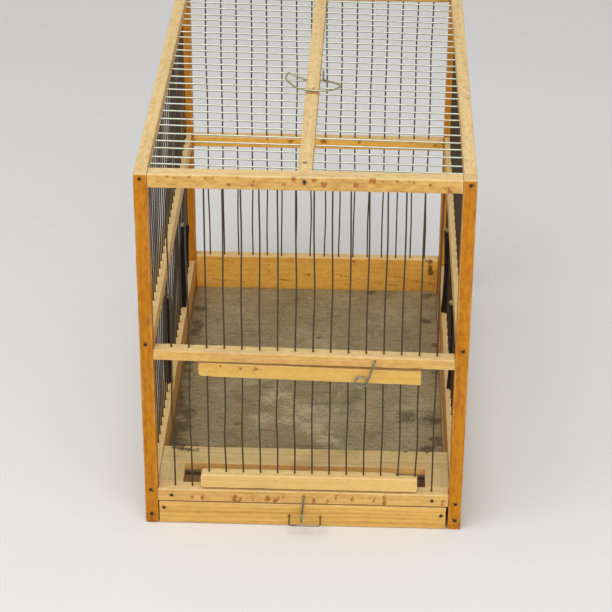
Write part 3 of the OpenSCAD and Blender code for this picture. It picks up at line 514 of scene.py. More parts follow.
def metal(name, key, amount=0.45, rough=0.34, shine=1.0):
    """Drawn wire or iron with brown tarnish in patches and dots."""
    if name in bpy.data.materials:
        return bpy.data.materials[name]
    material, net = new_material(name)
    skin = net.group(tarnish_group(), {"Place": net.place(), "Amount": amount})
    net.surface({
        "Base Color": net.mix(skin["Tarnish"], shade(key), shade("tarnish")),
        "Roughness": net.plus(net.times(skin["Tarnish"], 0.3), rough),
        "Metallic": net.minus(shine, net.times(skin["Tarnish"], 0.5 * shine)),
        "Normal": net.bump(skin["Grain"], 0.25, 0.00012)})
    return material


def dull_shaded_wire():
    # Its colour is partly real tarnish and partly painted shade for the dark surroundings it reflects.
    return metal("Dull wire", "wire", amount=0.5, rough=0.42, shine=0.85)


def black_plastic():
    """Moulded black plastic with a fine grain, scuffs and a little dust."""
    material, net = new_material("Black plastic")
    place = net.place()
    grain = net.cloud(net.scaled(place, 1500.0))
    scuffs = net.cloud(net.scaled(place, (60.0, 60.0, 900.0)), detail=3.0, roughness=0.7)
    dust = net.cloud(net.scaled(place, (55.0, 55.0, 38.0)), detail=6.0, roughness=0.7)
    dust = net.mask(dust, 0.52, 0.78)
    colour = net.tint(shade("plastic"), dust, 0.08, "dust")
    colour = net.tint(colour, net.mask(scuffs, 0.6, 0.75), 0.08, "scuff")
    roughness = net.plus(net.times(dust, 0.3), net.times(grain, 0.25))
    net.surface({
        "Base Color": colour, "Roughness": net.plus(roughness, 0.22, clamp=True),
        "Normal": net.bump(grain, 0.3, 0.00008), "Specular IOR Level": 0.25})
    return material


def tray_panel():
    """The weathered floor panel: mottled grey-brown with dark stains, scraped places and a few husks."""
    material, net = new_material("Weathered tray floor")
    place, touch = net.place(), net.painted("touch")
    hands_and_shade = net.group(handling_and_shade(), {"Place": place, "Touch": touch, "Dirt Scale": 40.0})
    _, scraped, stained = net.parts(touch)
    ragged = net.cloud(net.scaled(place, (110.0, 140.0, 100.0)), detail=8.0, roughness=0.85)
    ragged = net.times(net.minus(ragged, 0.5), 4.2)
    scraped = net.plus(scraped, net.times(ragged, net.mask(scraped, 0.0, 0.3)))
    stained = net.minus(stained, net.times(ragged, net.mask(stained, 0.0, 0.3)))
    broad = net.cloud(net.scaled(place, 16.0), detail=6.0, roughness=0.62)
    speckle = net.cloud(net.scaled(place, 620.0), detail=4.0, roughness=0.75)
    fibres = net.cloud(net.scaled(place, (60.0, 900.0, 500.0)))
    lines = net.cloud(net.scaled(place, (22.0, 240.0, 100.0)), detail=3.0, roughness=0.6)
    back = net.plus(net.parts(place)[1], net.times(ragged, 0.001))

    def past(distance):
        return at(0, CLEAN_LIT_FLOOR_END + distance, 0).y

    # A band under the slot, cleaner and with painted light, then a painted shadow line under the ledge.
    clean_and_lit = net.mask(back, past(1), past(-1))
    ledge_shadow = net.times(net.mask(back, past(-0.5), past(1)), net.mask(back, past(6), past(4.5)))
    soil = net.minus(0.6, net.times(clean_and_lit, 0.48))
    distance, lot = net.cells(net.scaled(place, 160.0))
    husks = net.times(net.mask(distance, 0.26, 0.16), net.math("LESS_THAN", lot, 0.05))
    colour = shade("floor")
    for mask, strength, key in (
            (net.mask(broad, 0.4, 0.75), 0.6, "floor_pale"),
            # painted light through the slot over the cleaner floor
            (clean_and_lit, 0.8, "floor_clean_and_lit"),
            (net.mask(speckle, 0.48, 0.66), soil, "floor_dark"),
            (net.mask(fibres, 0.52, 0.7), 0.3, "floor_pale"),
            (net.mask(lines, 0.55, 0.75), 0.4, "floor_dark"),
            (hands_and_shade["Dirt"], 0.35, "floor_dark"),
            (net.mask(scraped, 0.35, 0.8), 0.7, "floor_pale"),
            (net.mask(stained, 0.35, 0.8), 0.7, "floor_dark"),
            # painted shadow under the ledge, in the dark stain colour
            (ledge_shadow, 0.7, "grime"),
            (husks, 0.6, "husk")):
        colour = net.tint(colour, mask, strength, key)
    height = net.plus(net.times(speckle, 0.6), husks)
    net.surface({
        "Base Color": colour, "Roughness": net.plus(net.times(speckle, 0.25), 0.62, clamp=True),
        "Normal": net.bump(height, 0.6, 0.0004), "Specular IOR Level": 0.3})
    return material


def post_wood():
    return wood("Varnished post wood", "post", ring=0.0024, rings=0.22, flecks=0.16, dirt=0.22, faded_and_lit=0.7,
                streak=0.4, worn=0.2, rough=0.42, warp=0.006, coat=0.06, gloss=0.15, mottle=0.7)


def top_wood():
    return wood("Pale top wood", "top", ring=0.0026, rings=0.18, flecks=0.22, dirt=0.12, faded_and_lit=0.65,
                fibre=0.5, streak=0.4, worn=0.25, mottle=0.85)


def rail_wood():
    return wood("Rail wood", "rail", ring=0.0022, rings=0.25, flecks=0.2, dirt=0.14, faded_and_lit=0.6, mottle=0.6)


def board_wood():
    return wood("Board wood", "board", ring=0.0034, rings=0.4, flecks=0.12, dirt=0.22, faded_and_lit=0.5, streak=0.7,
                worn=0.4, rough=0.55, warp=0.007)


def rear_wood():
    return wood("Rear board wood", "rear", ring=0.004, rings=0.15, flecks=0.12, dirt=0.14, faded_and_lit=0.6,
                fibre=0.5, streak=0.4, fleck_depth=0.25, warp=0.009, mottle=0.5)


def door_wood():
    return wood("Upper door wood", "door", ring=0.0021, rings=0.2, flecks=0.14, dirt=0.12, faded_and_lit=0.3,
                streak=0.4)


def foot_wood():
    return wood("Lower door wood", "foot", ring=0.0025, rings=0.25, flecks=0.1, dirt=0.14, faded_and_lit=0.4,
                worn=0.4, rough=0.55, mottle=0.3)


def pine_wood():
    return wood("Tray front wood", "pine", ring=0.0036, rings=0.45, flecks=0.0, dirt=0.16, faded_and_lit=0.3,
                streak=0.7, warp=0.008, mottle=0.3)


def ledge_wood():
    # The sides are brightened as painted light on the slot's far wall; the top takes the ledge colour.
    return wood("Weathered ledge wood", "side", ring=0.0026, rings=0.3, flecks=0.15, dirt=0.3, faded_and_lit=0.95,
                worn=0.5, rough=0.66, mottle=0.3, top="ledge")


def cut(bm, axis, place):
    """One saw cut through the whole mesh at a place along an axis."""
    point, normal = Vector(), Vector()
    point[axis], normal[axis] = place, 1.0
    geometry = bm.verts[:] + bm.edges[:] + bm.faces[:]
    bmesh.ops.bisect_plane(bm, geom=geometry, dist=1e-7, plane_co=point, plane_no=normal)


def slice_up(bm, low, high, steps):
    """Cuts close to every edge, and even cuts between them, so that paint and wear have points to sit on."""
    for axis in range(3):
        for gap in EDGE_CUTS:
            cut(bm, axis, low[axis] + gap)
            cut(bm, axis, high[axis] - gap)
    for axis in range(3):
        if steps[axis]:
            span = [e for e in bm.edges if e.calc_length() > 1.5 * steps[axis]
                    and abs(e.verts[0].co[axis] - e.verts[1].co[axis]) > 0.99 * e.calc_length()]
            if span:
                longest = max(e.calc_length() for e in span)
                count = max(1, round(longest / steps[axis]) - 1)
                bmesh.ops.subdivide_edges(bm, edges=span, cuts=count, use_grid_fill=True)


def paint(bm, low, high, grain, seed, spots, grimes_and_shades):
    """Writes each point's place in its stick, its touches, painted shade, top fading and painted top light.
    """
    stock = bm.verts.layers.float_vector.new("stock")
    touch = bm.verts.layers.float_vector.new("touch")
    fade = bm.verts.layers.float.new("fade")
    middle = (low + high) / 2
    side, depth = [axis for axis in range(3) if axis != grain]
    # The rings run round the tree's heart, which lies off the stick, in another direction for each seed.
    swing = seed * GOLDEN_ANGLE
    reach = 0.014 + 0.011 * math.sin(seed * 1.7)
    for v in bm.verts:
        v[stock] = Vector((v.co[grain] - low[grain] + seed * 0.37,
                           v.co[side] - middle[side] + reach * math.cos(swing),
                           v.co[depth] - middle[depth] + reach * math.sin(swing)))
        gaps = sorted(min(v.co[axis] - low[axis], high[axis] - v.co[axis]) for axis in range(3))
        values = [max(0.0, 1 - gaps[1] / EDGE_BAND), 0.0, 0.0]
        for number, marks in ((1, spots), (2, grimes_and_shades)):
            for centre, radius, strength in marks:
                away = (v.co - centre).length / radius
                if away < SPOT_SPREAD:
                    values[number] = max(values[number], strength * (1 - (away / SPOT_SPREAD) ** 2))
        v[touch] = Vector(values)
        # The top skin is paler: partly real fading, partly painted light falling from above.
        v[fade] = max(0.0, 1 - (high.z - v.co.z) / TOP_FADE_AND_LIGHT_DEPTH)


def rub(bm, depth, seed):
    """Wears the surface inwards, unevenly and mostly at the edges."""
    touch = bm.verts.layers.float_vector["touch"]
    bm.normal_update()
    shift = Vector((seed * 3.1, seed * 1.7, seed * 2.3))
    moves = []
    for v in bm.verts:
        broad = noise.noise(v.co * 70 + shift)
        small = noise.noise(v.co * 260 + shift)
        give = max(0.0, broad + 0.5 * small)
        moves.append(v.normal * depth * give * (0.3 + 1.5 * v[touch][0]))
    for v, move in zip(bm.verts, moves):
        v.co -= move


def finish_piece(name, bm, body, material, nodes):
    """Makes the mesh an object that moves with its body and stands for its CAD nodes."""
    bm.normal_update()
    mesh = bpy.data.meshes.new(name)
    bm.to_mesh(mesh)
    bm.free()
    mesh.shade_smooth()
    mesh.materials.append(material)
    piece = bpy.data.objects.new(name, mesh)
    bpy.context.scene.collection.objects.link(piece)
    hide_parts(*nodes)
    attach(piece, body)


def block(low, high):
    """A plain block between two corners, as a new bmesh."""
    bm = bmesh.new()
    size = high - low
    place = Matrix.Translation((low + high) / 2) @ Matrix.Diagonal((*size, 1.0))
    bmesh.ops.create_cube(bm, size=1.0, matrix=place)
    return bm


def round_edges(bm, radius, edges=None, segments=3):
    """Rounds the given edges, or all of the sharp ones."""
    if edges is None:
        edges = [e for e in bm.edges if len(e.link_faces) == 2 and e.calc_face_angle() > SHARP_TURN]
    bmesh.ops.bevel(
        bm, geom=edges, offset=radius, segments=segments, profile=0.5, affect="EDGES", material=-1)


def node_room(node):
    """The corners of a CAD node, pulled in by the joint gap."""
    shrink = bpy.context.scene.cage_sizes.shrink
    low, high = (Vector(corner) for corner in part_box(node))
    return low + Vector((shrink,) * 3), high - Vector((shrink,) * 3)


def front_spots(marks, y, strength=1.0):
    """Spots on a face that looks forwards, some of them fainter than others."""
    return [(at(x, y, z), 0.85 * radius / 1000, strength * (0.6 + 0.4 * (1.618 * number % 1)))
            for number, (x, z, radius) in enumerate(marks)]


def top_spots(marks, z, strength):
    """Spots on a face that looks up."""
    return [(at(x, y, z), radius / 1000, strength) for x, y, radius in marks]


def stains_and_shade(places, stain_and_shade):
    """The same mark round nails or wire ends in the front face: a stain at a nail, painted shade at a wire.
    """
    return [(at(x, 0, z), *stain_and_shade) for x, z in places]


def tilted(node, bottom, top, degrees):
    """The level room of a stick whose right end is lower than its left one, and the way there and back."""
    low, high = node_room(node)
    shrink = bpy.context.scene.cage_sizes.shrink
    low.z, high.z = bottom / 1000 + shrink, top / 1000 - shrink
    lean = Matrix.Identity(4)
    lean[2][0] = -math.tan(math.radians(degrees))
    return low, high, lean, lean.inverted()


def scratches(lines, y, radius, strength):
    """Long marks on a face that looks forwards, each from one place to another."""
    marks = []
    for x, z, far_x, far_z in lines:
        steps = round(math.hypot(far_x - x, far_z - z) / SCRATCH_STEP)
        for step in range(steps + 1):
            share = step / steps
            marks.append((at(x + (far_x - x) * share, y, z + (far_z - z) * share), radius / 1000, strength))
    return marks


def stick(name, node, grain, seed, body, material, spots=(), grimes_and_shades=(), shape=None, tilt=None,
          fine=False):
    """A sawn stick in the place of a CAD node, with rounded and rubbed edges."""
    sizes = bpy.context.scene.cage_sizes
    low, high = node_room(node)
    if tilt:
        low, high, lean, back = tilt
        spots = [(back @ centre, radius, strength) for centre, radius, strength in spots]
        grimes_and_shades = [(back @ centre, radius, strength) for centre, radius, strength in grimes_and_shades]
    bm = block(low, high)
    if shape:
        shape(bm, low, high)
    round_edges(bm, sizes.edge)
    along = sizes.fine if fine else sizes.coarse
    across = sizes.fine if fine else 0
    slice_up(bm, low, high, [along if axis == grain else across for axis in range(3)])
    paint(bm, low, high, grain, seed, spots, grimes_and_shades)
    rub(bm, sizes.rub, seed)
    if tilt:
        bm.transform(lean)
    finish_piece(name, bm, body, material, [node])


def panel(name, node, grain, seed, body, material, steps, spots=(), grimes_and_shades=()):
    """A thin or hidden piece of wood in the place of a CAD node, with crisp edges that aren't rubbed."""
    low, high = node_room(node)
    bm = block(low, high)
    round_edges(bm, CRISP_EDGE, segments=2)
    slice_up(bm, low, high, steps)
    paint(bm, low, high, grain, seed, spots, grimes_and_shades)
    finish_piece(name, bm, body, material, [node])


def dress(material, *nodes):
    """Gives CAD nodes a finished material."""
    for node in nodes:
        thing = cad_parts[node]
        for place in thing.material_slots:
            place.material = material


def front_wire_places():
    """x of the sixteen wires of the front and the rear."""
    return [FIRST_WIRE_X + WIRE_PITCH * number for number in range(16)]


def side_wire_places():
    """y of the 27 side wires."""
    return [SIDE_WIRES_START + SIDE_WIRE_PITCH * number for number in range(1, 28)]


def mid_rail_top(x):
    """The level of the sloping middle rail's upper face."""
    return MID_RAIL_TOP - x * math.tan(math.radians(MID_RAIL_TILT))


def wire_rims(places, y, z):
    """Painted shade round the holes where upright wires enter the wood."""
    return [(at(x, y, z), *WIRE_RIM) for x in places]


class CAGE_OT_posts(bpy.types.Operator):
    """Make the four varnished corner posts"""

    bl_idname = "cage.posts"
    bl_label = "Posts"

    def execute(self, context):
        names = ("post_front_left", "post_front_right", "post_rear_left", "post_rear_right")
        for seed, name in enumerate(names):
            side = -1 if "left" in name else 1
            front = "front" in name
            grimes_and_shades = stains_and_shade([(side * POST_X, z) for z in POST_NAILS.get(name, ())], NAIL_STAIN)
            if front:
                x, y, z = POST_FOOT
                grimes_and_shades.append((at(side * x, y, z), *POST_FOOT_STAIN))
            stick("corner_" + name, name, Z, 11.3 + seed, "frame", post_wood(), grimes_and_shades=grimes_and_shades,
                  fine=front)
        return {"FINISHED"}


class CAGE_OT_top_frame(bpy.types.Operator):
    """Make the rails round the top and the bar along the roof"""

    bl_idname = "cage.top_frame"
    bl_label = "Top Frame"

    def execute(self, context):
        pale = top_wood()
        stick("top_rail_front", "front_top_rail", X, 21.0, "frame", pale,
              spots=front_spots(TOP_RAIL_FLECKS, 0), grimes_and_shades=stains_and_shade(TOP_RAIL_NAILS, NAIL_STAIN), fine=True)
        stick("top_rail_rear", "rear_top_rail", X, 22.4, "frame", pale)
        stick("top_rail_left", "left_top_rail", Y, 23.1, "frame", pale)
        stick("top_rail_right", "right_top_rail", Y, 24.7, "frame", pale,
              spots=top_spots(SIDE_RAIL_SPOTS, ROOF_TOP, 0.9), fine=True)
        self.roof_bar(pale)
        return {"FINISHED"}

    def roof_bar(self, pale):
        """The bar along the roof, which is a little askew: its rear end stands further right."""
        seed = 25.2
        sizes = bpy.context.scene.cage_sizes
        low, high = node_room("roof_bar")
        width = ROOF_BAR_WIDTH / 1000 - 2 * sizes.shrink
        drift = (high.x - low.x) - width
        high.x = low.x + width
        bm = block(low, high)
        round_edges(bm, sizes.edge)
        slice_up(bm, low, high, [sizes.fine] * 3)
        grimes_and_shades = [(at(x, y, ROOF_TOP), radius / 1000, strength) for x, y, radius, strength in ROOF_BAR_SPOTS]
        paint(bm, low, high, Y, seed, top_spots(ROOF_BAR_SCUFFS, ROOF_TOP, 0.7), grimes_and_shades)
        rub(bm, sizes.rub, seed)
        for v in bm.verts:
            v.co.x += drift * (v.co.y - low.y) / (high.y - low.y)
        finish_piece("roof_beam", bm, "frame", pale, ["roof_bar"])


class CAGE_OT_middle_rails(bpy.types.Operator):
    """Make the belt of rails at half height"""

    bl_idname = "cage.middle_rails"
    bl_label = "Middle Rails"

    def execute(self, context):
        beech = rail_wood()
        # Painted shade round the holes where the wires and the door catch enter the rail.
        rims = [(at(x, WIRE_Y, mid_rail_top(x)), *WIRE_RIM) for x in front_wire_places()]
        rims += stains_and_shade([DOOR_CATCH], DOOR_CATCH_RIM)
        stick("mid_rail_front", "front_mid_rail", X, 31.0, "frame", beech,
              spots=front_spots(MID_RAIL_FLECKS, 0, 0.5), grimes_and_shades=rims,
              tilt=tilted("front_mid_rail", MID_RAIL_FOOT, MID_RAIL_TOP, MID_RAIL_TILT), fine=True)
        # Painted shade round the holes of the rear wires.
        rims = wire_rims(front_wire_places(), REAR_WIRE_Y, REAR_MID_RAIL_TOP - 0.1)
        stick("mid_rail_rear", "rear_mid_rail", X, 32.6, "frame", rear_wood(),
              spots=front_spots(REAR_RAIL_FLECKS, REAR_MID_RAIL_FACE), grimes_and_shades=rims, fine=True)
        for seed, node in ((33.1, "left_mid_rail"), (34.5, "right_mid_rail")):
            stick("mid_rail_" + node.split("_")[0], node, Y, seed, "frame", beech)
        return {"FINISHED"}


class CAGE_OT_bottom(bpy.types.Operator):
    """Make the bottom rail, the boards round the tray and the ledge behind the rail"""

    bl_idname = "cage.bottom"
    bl_label = "Bottom"

    def execute(self, context):
        board, ledge = board_wood(), ledge_wood()
        # Stains round the nails, and painted shade where the tray catch and the wires enter the wood.
        grimes_and_shades = stains_and_shade(BOTTOM_RAIL_NAILS, NAIL_STAIN) + stains_and_shade([TRAY_CATCH], TRAY_CATCH_RIM)
        beside_door = front_wire_places()
        del beside_door[DOOR_WIRES]
        grimes_and_shades += wire_rims(beside_door, WIRE_Y, BOTTOM_RAIL_TOP)
        # Each fleck of this rail runs upwards, so it is drawn as three spots over each other.
        tall = [(x + 0.3 * step, z + 1.4 * step, 0.8 * radius) for x, z, radius in BOTTOM_RAIL_FLECKS
                for step in (-1, 0, 1)]
        stick("bottom_rail_front", "front_bottom_rail", X, 41.0, "frame", rail_wood(),
              spots=front_spots(tall, 0), grimes_and_shades=grimes_and_shades, fine=True)
        knots = front_spots(REAR_BOARD_SPOTS, REAR_BOARD_FACE, 1.2)
        # Painted shade round the holes of the rear wires.
        rims = wire_rims(front_wire_places(), REAR_WIRE_Y, REAR_BOARD_TOP)
        marks = scratches(REAR_BOARD_SCRATCHES, REAR_BOARD_FACE, 0.9, 0.5)
        stick("bottom_board_rear", "rear_bottom_board", X, 42.2, "frame", rear_wood(),
              spots=marks, grimes_and_shades=knots + rims, fine=True)
        for seed, node, x in ((43.4, "left_bottom_board", -POST_X), (44.9, "right_bottom_board", POST_X)):
            # Painted shade round the holes of the side wires.
            rims = [(at(x, y, SIDE_BOARD_TOP), *SIDE_WIRE_RIM) for y in side_wire_places()]
            stick("bottom_board_" + node.split("_")[0], node, Y, seed, "frame", board,
                  grimes_and_shades=rims, fine=True)
        stick("ledge_plank", "ledge_board", X, 45.0, "frame", ledge,
              grimes_and_shades=top_spots(LEDGE_STAINS, BOTTOM_RAIL_TOP, 0.8), fine=True)
        for seed, node in ((46.3, "ledge_left_block"), (47.7, "ledge_right_block")):
            stick(node.replace("block", "end"), node, Y, seed, "frame", ledge)
        for seed, node in ((48.1, "left_runner"), (49.4, "right_runner")):
            panel(node.replace("runner", "tray_rail"), node, Y, seed, "frame", board,
                  [0, 0.02, 0])
        return {"FINISHED"}


def round_hinge_end(bm, low, high):
    """Rounds the hinge end of a door bar, as it is seen from the front."""
    ends = [e for e in bm.edges if all(v.co.x < low.x + 1e-6 for v in e.verts)
            and abs(e.verts[0].co.y - e.verts[1].co.y) > 0.001]
    round_edges(bm, HINGE_END, ends, segments=6)


def chip_far_end(bm, low, high):
    """Rounds the lower door bar at its hinge and its lower right, and breaks a chip out at its rear right."""
    round_hinge_end(bm, low, high)
    corner = [e for e in bm.edges
              if all(v.co.x > high.x - 1e-6 and v.co.z < low.z + 1e-6 for v in e.verts)]
    round_edges(bm, LOWER_CORNER, corner, segments=5)
    carve(bm, block(at(*CHIP_CORNER), high + Vector((0.004, 0.004, 0.004))))


def carve(bm, cutter):
    """Takes the cutter's block out of a bar."""
    whole = bpy.data.meshes.new("bar")
    tool = bpy.data.meshes.new("chip")
    bm.to_mesh(whole)
    cutter.to_mesh(tool)
    cutter.free()
    bar = bpy.data.objects.new("bar", whole)
    knife = bpy.data.objects.new("chip", tool)
    for thing in (bar, knife):
        bpy.context.scene.collection.objects.link(thing)
    cutting = bar.modifiers.new("Chip", "BOOLEAN")
    cutting.operation = "DIFFERENCE"
    cutting.solver = "EXACT"
    cutting.object = knife
    depsgraph = bpy.context.evaluated_depsgraph_get()
    carved = bpy.data.meshes.new_from_object(bar.evaluated_get(depsgraph))
    bm.clear()
    bm.from_mesh(carved)
    for thing in (bar, knife):
        bpy.data.objects.remove(thing)
    for mesh in (whole, tool, carved):
        bpy.data.meshes.remove(mesh)


class CAGE_OT_door(bpy.types.Operator):
    """Make the two bars of the door, with their rounded hinge ends"""

    bl_idname = "cage.door"
    bl_label = "Door"

    def execute(self, context):
        # The upper bar is as long and as thick as the lower one, and hangs askew.
        stick("door_bar_top", "door_top_bar", X, 51.0, "door", door_wood(),
              spots=front_spots(DOOR_FLECKS, DOOR_FACE), shape=round_hinge_end,
              tilt=tilted("door_bottom_bar", DOOR_BAR_FOOT, DOOR_BAR_TOP, DOOR_BAR_TILT), fine=True)
        # Painted shade round the holes of the door wires.
        rims = wire_rims(front_wire_places()[DOOR_WIRES], WIRE_Y, LOWER_BAR_TOP)
        stick("door_bar_bottom", "door_bottom_bar", X, 52.8, "door", foot_wood(),
              grimes_and_shades=rims, shape=chip_far_end, fine=True)
        return {"FINISHED"}


class CAGE_OT_tray(bpy.types.Operator):
    """Make the tray: striped front, weathered floor and corner blocks"""

    bl_idname = "cage.tray"
    bl_label = "Tray"

    def execute(self, context):
        # Stains round the nails, and painted shade where the pull enters the tray front.
        grimes_and_shades = stains_and_shade(TRAY_NAILS, NAIL_STAIN) + stains_and_shade(PULL_ENDS, PULL_RIM)
        stick("tray_face", "tray_front", X, 61.0, "tray", pine_wood(), grimes_and_shades=grimes_and_shades, fine=True)
        for seed, node in ((62.0, "tray_left_block"), (63.0, "tray_right_block")):
            stick(node.replace("block", "corner"), node, Y, seed, "tray", rail_wood())
        panel("tray_panel", "tray_floor", X, 64.0, "tray", tray_panel(), [0.003, 0.003, 0],
              spots=top_spots(TRAY_SCRAPES, TRAY_FLOOR_TOP, 0.7),
              grimes_and_shades=top_spots(TRAY_STAINS, TRAY_FLOOR_TOP, 0.85))
        return {"FINISHED"}


def open_spans(foot, grip):
    """The stretches of a wire between the wood: up to the middle rail, and from there to the top rail."""
    return (foot, grip[0]), (grip[1], TOP_RAIL_FOOT)


class CAGE_OT_wires(bpy.types.Operator):
    """Make the upright wires, which are not quite straight"""

    bl_idname = "cage.wires"
    bl_label = "Upright Wires"

    def execute(self, context):
        places = front_wire_places()
        over_door = places[DOOR_WIRES]
        front = []
        spans = open_spans(BOTTOM_RAIL_TOP, FRONT_GRIP)
        for x in places:
            if x not in over_door and x != places[HINGE_WIRE]:
                front.append((x, WIRE_Y, BOTTOM_RAIL_TOP - WIRE_DEPTH, WIRE_HEAD, spans))
        for x in over_door:
            top = mid_rail_top(x)
            front.append((x, WIRE_Y, top - WIRE_DEPTH, WIRE_HEAD, ((top, TOP_RAIL_FOOT),)))
        spans = open_spans(REAR_BOARD_TOP, REAR_GRIP)
        rear = [(x, REAR_WIRE_Y, REAR_BOARD_TOP - WIRE_DEPTH, WIRE_HEAD, spans) for x in places]
        door = [(x, WIRE_Y, *DOOR_WIRE_ENDS, (DOOR_SPAN,)) for x in over_door]
        left, right = [], []
        for number, y in enumerate(side_wire_places(), 1):
            spans = open_spans(SIDE_BOARD_TOP, SIDE_GRIP)
            if number in STRIP_WIRES:
                spans = spans[1:]
            left.append((-POST_X, y, SIDE_BOARD_TOP - WIRE_DEPTH, WIRE_HEAD, spans))
            right.append((POST_X, y, SIDE_BOARD_TOP - WIRE_DEPTH, WIRE_HEAD, spans))
        # How far a wire may stray along x and along y.
        wander = context.scene.cage_sizes.wander
        ends_stray = (wander, 0.5 * wander)
        sides_stray = (0.5 * wander, 1.8 * wander)
        for name, node, body, wires, stray in (
                ("wire_front", "front_wires", "frame", front, ends_stray),
                ("wire_rear", "rear_wires", "frame", rear, ends_stray),
                ("wire_door", "door_wires", "door", door, ends_stray),
                ("wire_left", "left_wires", "frame", left, sides_stray),
                ("wire_right", "right_wires", "frame", right, sides_stray)):
            bm = bmesh.new()
            for number, wire in enumerate(wires):
                self.draw_wire(bm, number + len(wires), stray, *wire)
            finish_piece(name, bm, body, dull_shaded_wire(), [node])
        return {"FINISHED"}

    def draw_wire(self, bm, seed, stray, x, y, foot, head, spans):
        """One wire from its foot to its head, that strays a little in the open spans between the rails."""
        radius = bpy.context.scene.cage_sizes.wire
        made = bmesh.ops.create_cone(
            bm, cap_ends=True, segments=10, radius1=radius, radius2=radius, depth=(head - foot) / 1000,
            matrix=Matrix.Translation(at(x, y, (foot + head) / 2)))
        upright = {e for v in made["verts"] for e in v.link_edges
                   if abs(e.verts[0].co.z - e.verts[1].co.z) > 0.01}
        rings = bmesh.ops.subdivide_edges(bm, edges=list(upright), cuts=29)
        bow = 0.7 * math.sin(seed * 12.9)
        wave = 0.5 * math.cos(seed * 7.1)
        for v in rings["geom_inner"]:
            for low, high in spans:
                if isinstance(v, bmesh.types.BMVert) and low < v.co.z * 1000 < high:
                    turn = math.pi * (v.co.z * 1000 - low) / (high - low)
                    share = bow * math.sin(turn) ** 2 + wave * math.sin(turn) * math.sin(2 * turn)
                    v.co.x += stray[0] * share
                    v.co.y += stray[1] * share


class CAGE_OT_metalwork(bpy.types.Operator):
    """Finish the other wires, the nails, catches, pull and handle"""

    bl_idname = "cage.metalwork"
    bl_label = "Metalwork"

    def execute(self, context):
        dress(dull_shaded_wire(), "door_hinge_wire")
        dress(metal("Bright wire", "bright", amount=0.32, rough=0.26), "roof_wires")
        dress(metal("Catch wire", "catch", rough=0.32), "door_catch", "tray_catch", "tray_pull")
        dress(metal("Aged wire", "aged", amount=0.4, rough=0.36), "carry_handle")
        dress(metal("Solder", "solder", amount=0.5, rough=0.55, shine=0.8), "strip_solder")
        iron = metal("Dark iron", "nail", amount=0.4, rough=0.55, shine=0.6)
        dress(iron, "front_nails", "rear_nails", "side_nails", "tray_nails")
        dress(metal("Yellow pin", "pin", amount=0.3, rough=0.4, shine=0.9), "loose_nail")
        return {"FINISHED"}


class CAGE_OT_perch_strips(bpy.types.Operator):
    """Finish the four black perch strips with softened edges"""

    bl_idname = "cage.perch_strips"
    bl_label = "Perch Strips"

    def execute(self, context):
        names = [f"perch_strip_{end}_{side}" for end in ("front", "rear") for side in ("left", "right")]
        dress(black_plastic(), *names)
        for name in names:
            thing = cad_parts[name]
            weld = thing.modifiers.new("Weld", "WELD")
            weld.merge_threshold = 0.00001
            soft = thing.modifiers.new("Soft edges", "BEVEL")
            soft.width = STRIP_EDGE
            soft.segments = 2
            soft.limit_method = "ANGLE"
            soft.angle_limit = SHARP_TURN
        return {"FINISHED"}


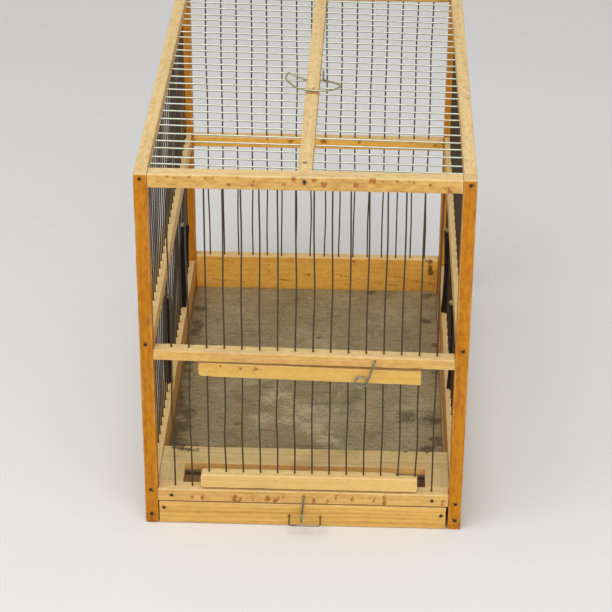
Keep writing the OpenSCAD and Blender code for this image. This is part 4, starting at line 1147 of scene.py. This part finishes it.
class CAGE_OT_studio(bpy.types.Operator):
    """Set up the camera, the soft lights and the pale floor"""

    bl_idname = "cage.studio"
    bl_label = "Studio"

    def execute(self, context):
        scene = context.scene
        scene.view_settings.view_transform = "Standard"
        self.camera(scene)
        self.floor(scene)
        self.lamp("key_light", (-0.5, -0.9, 1.9), 1.7, 24)
        self.lamp("front_light", (0.9, -2.0, 0.9), 1.5, 17)
        self.world(scene)
        return {"FINISHED"}

    def camera(self, scene):
        """The photograph's camera, as solved from the cage's corners."""
        pitch, yaw, roll = (math.radians(angle) for angle in CAMERA_TURNS)
        ahead = Vector((-math.sin(yaw) * math.cos(pitch), math.cos(yaw) * math.cos(pitch), -math.sin(pitch)))
        level = Vector((math.cos(yaw), math.sin(yaw), 0.0))
        above = level.cross(ahead)
        right = math.cos(roll) * level + math.sin(roll) * above
        up = -math.sin(roll) * level + math.cos(roll) * above
        data = bpy.data.cameras.new("camera")
        data.sensor_width = SENSOR_WIDTH
        data.lens = FOCAL_PIXELS * SENSOR_WIDTH / PICTURE_WIDTH
        data.clip_end = 50.0
        thing = bpy.data.objects.new("camera", data)
        scene.collection.objects.link(thing)
        turned = Matrix((right, up, -ahead)).transposed().to_4x4()
        thing.matrix_world = Matrix.Translation(at(*CAMERA_PLACE)) @ turned
        scene.camera = thing

    def floor(self, scene):
        """A wide pale floor, level with the cage's foot."""
        bm = bmesh.new()
        bmesh.ops.create_grid(bm, x_segments=8, y_segments=8, size=6.0)
        mesh = bpy.data.meshes.new("studio_floor")
        bm.to_mesh(mesh)
        bm.free()
        material, net = new_material("Studio floor")
        pale = shade("backdrop")
        paler = (*(min(1.0, part * 1.03) for part in pale[:3]), 1.0)
        colour = net.mix(net.cloud(net.scaled(net.place(), 2.0), detail=3.0), pale, paler)
        net.surface({"Base Color": colour, "Roughness": 0.9, "Specular IOR Level": 0.1})
        mesh.materials.append(material)
        thing = bpy.data.objects.new("studio_floor", mesh)
        scene.collection.objects.link(thing)

    def lamp(self, name, place, size, power):
        """A soft square lamp that is aimed at the cage."""
        data = bpy.data.lights.new(name, "AREA")
        data.shape = "SQUARE"
        data.size = size
        data.energy = power
        thing = bpy.data.objects.new(name, data)
        bpy.context.scene.collection.objects.link(thing)
        aim = Vector((0.0, 0.0, 0.14)) - Vector(place)
        thing.matrix_world = Matrix.Translation(place) @ aim.to_track_quat("-Z", "Y").to_matrix().to_4x4()

    def world(self, scene):
        """Even light from all round, and the backdrop's colour where the camera or a reflection sees it."""
        world = bpy.data.worlds.new("Studio air")
        world.use_nodes = True
        world.node_tree.nodes.clear()
        net = Net(world.node_tree)
        rays = net.node("ShaderNodeLightPath").outputs
        seen = net.plus(rays["Is Camera Ray"], rays["Is Glossy Ray"], clamp=True)
        seen = net.plus(seen, rays["Is Transmission Ray"], clamp=True)
        colour = net.mix(seen, (0.52, 0.52, 0.53, 1.0), shade("backdrop"))
        ground = net.node("ShaderNodeBackground", {"Color": colour, "Strength": 1.0})
        net.node("ShaderNodeOutputWorld", {0: ground.outputs[0]})
        scene.world = world


class CAGE_PT_panel(bpy.types.Panel):
    """The steps of the cage in the sidebar of the 3D view"""

    bl_idname = "CAGE_PT_panel"
    bl_label = "Bird Cage"
    bl_space_type = "VIEW_3D"
    bl_region_type = "UI"
    bl_category = "Bird Cage"

    def draw(self, context):
        for step in STEPS:
            self.layout.operator(step.bl_idname)
        for group in (context.scene.cage_sizes, context.scene.cage_colours):
            for key in group.__annotations__:
                self.layout.prop(group, key)


STEPS = (CAGE_OT_studio, CAGE_OT_posts, CAGE_OT_top_frame, CAGE_OT_middle_rails, CAGE_OT_bottom,
         CAGE_OT_door, CAGE_OT_tray, CAGE_OT_wires, CAGE_OT_metalwork, CAGE_OT_perch_strips)
CLASSES = (CageSizes, CageColours, *STEPS, CAGE_PT_panel)


def register():
    for kind in CLASSES:
        bpy.utils.register_class(kind)
    bpy.types.Scene.cage_sizes = bpy.props.PointerProperty(type=CageSizes)
    bpy.types.Scene.cage_colours = bpy.props.PointerProperty(type=CageColours)


def unregister():
    del bpy.types.Scene.cage_colours
    del bpy.types.Scene.cage_sizes
    for kind in reversed(CLASSES):
        bpy.utils.unregister_class(kind)


def main():
    register()
    for step in STEPS:
        group, name = step.bl_idname.split(".")
        getattr(getattr(bpy.ops, group), name)()


if __name__ == "__main__":
    main()
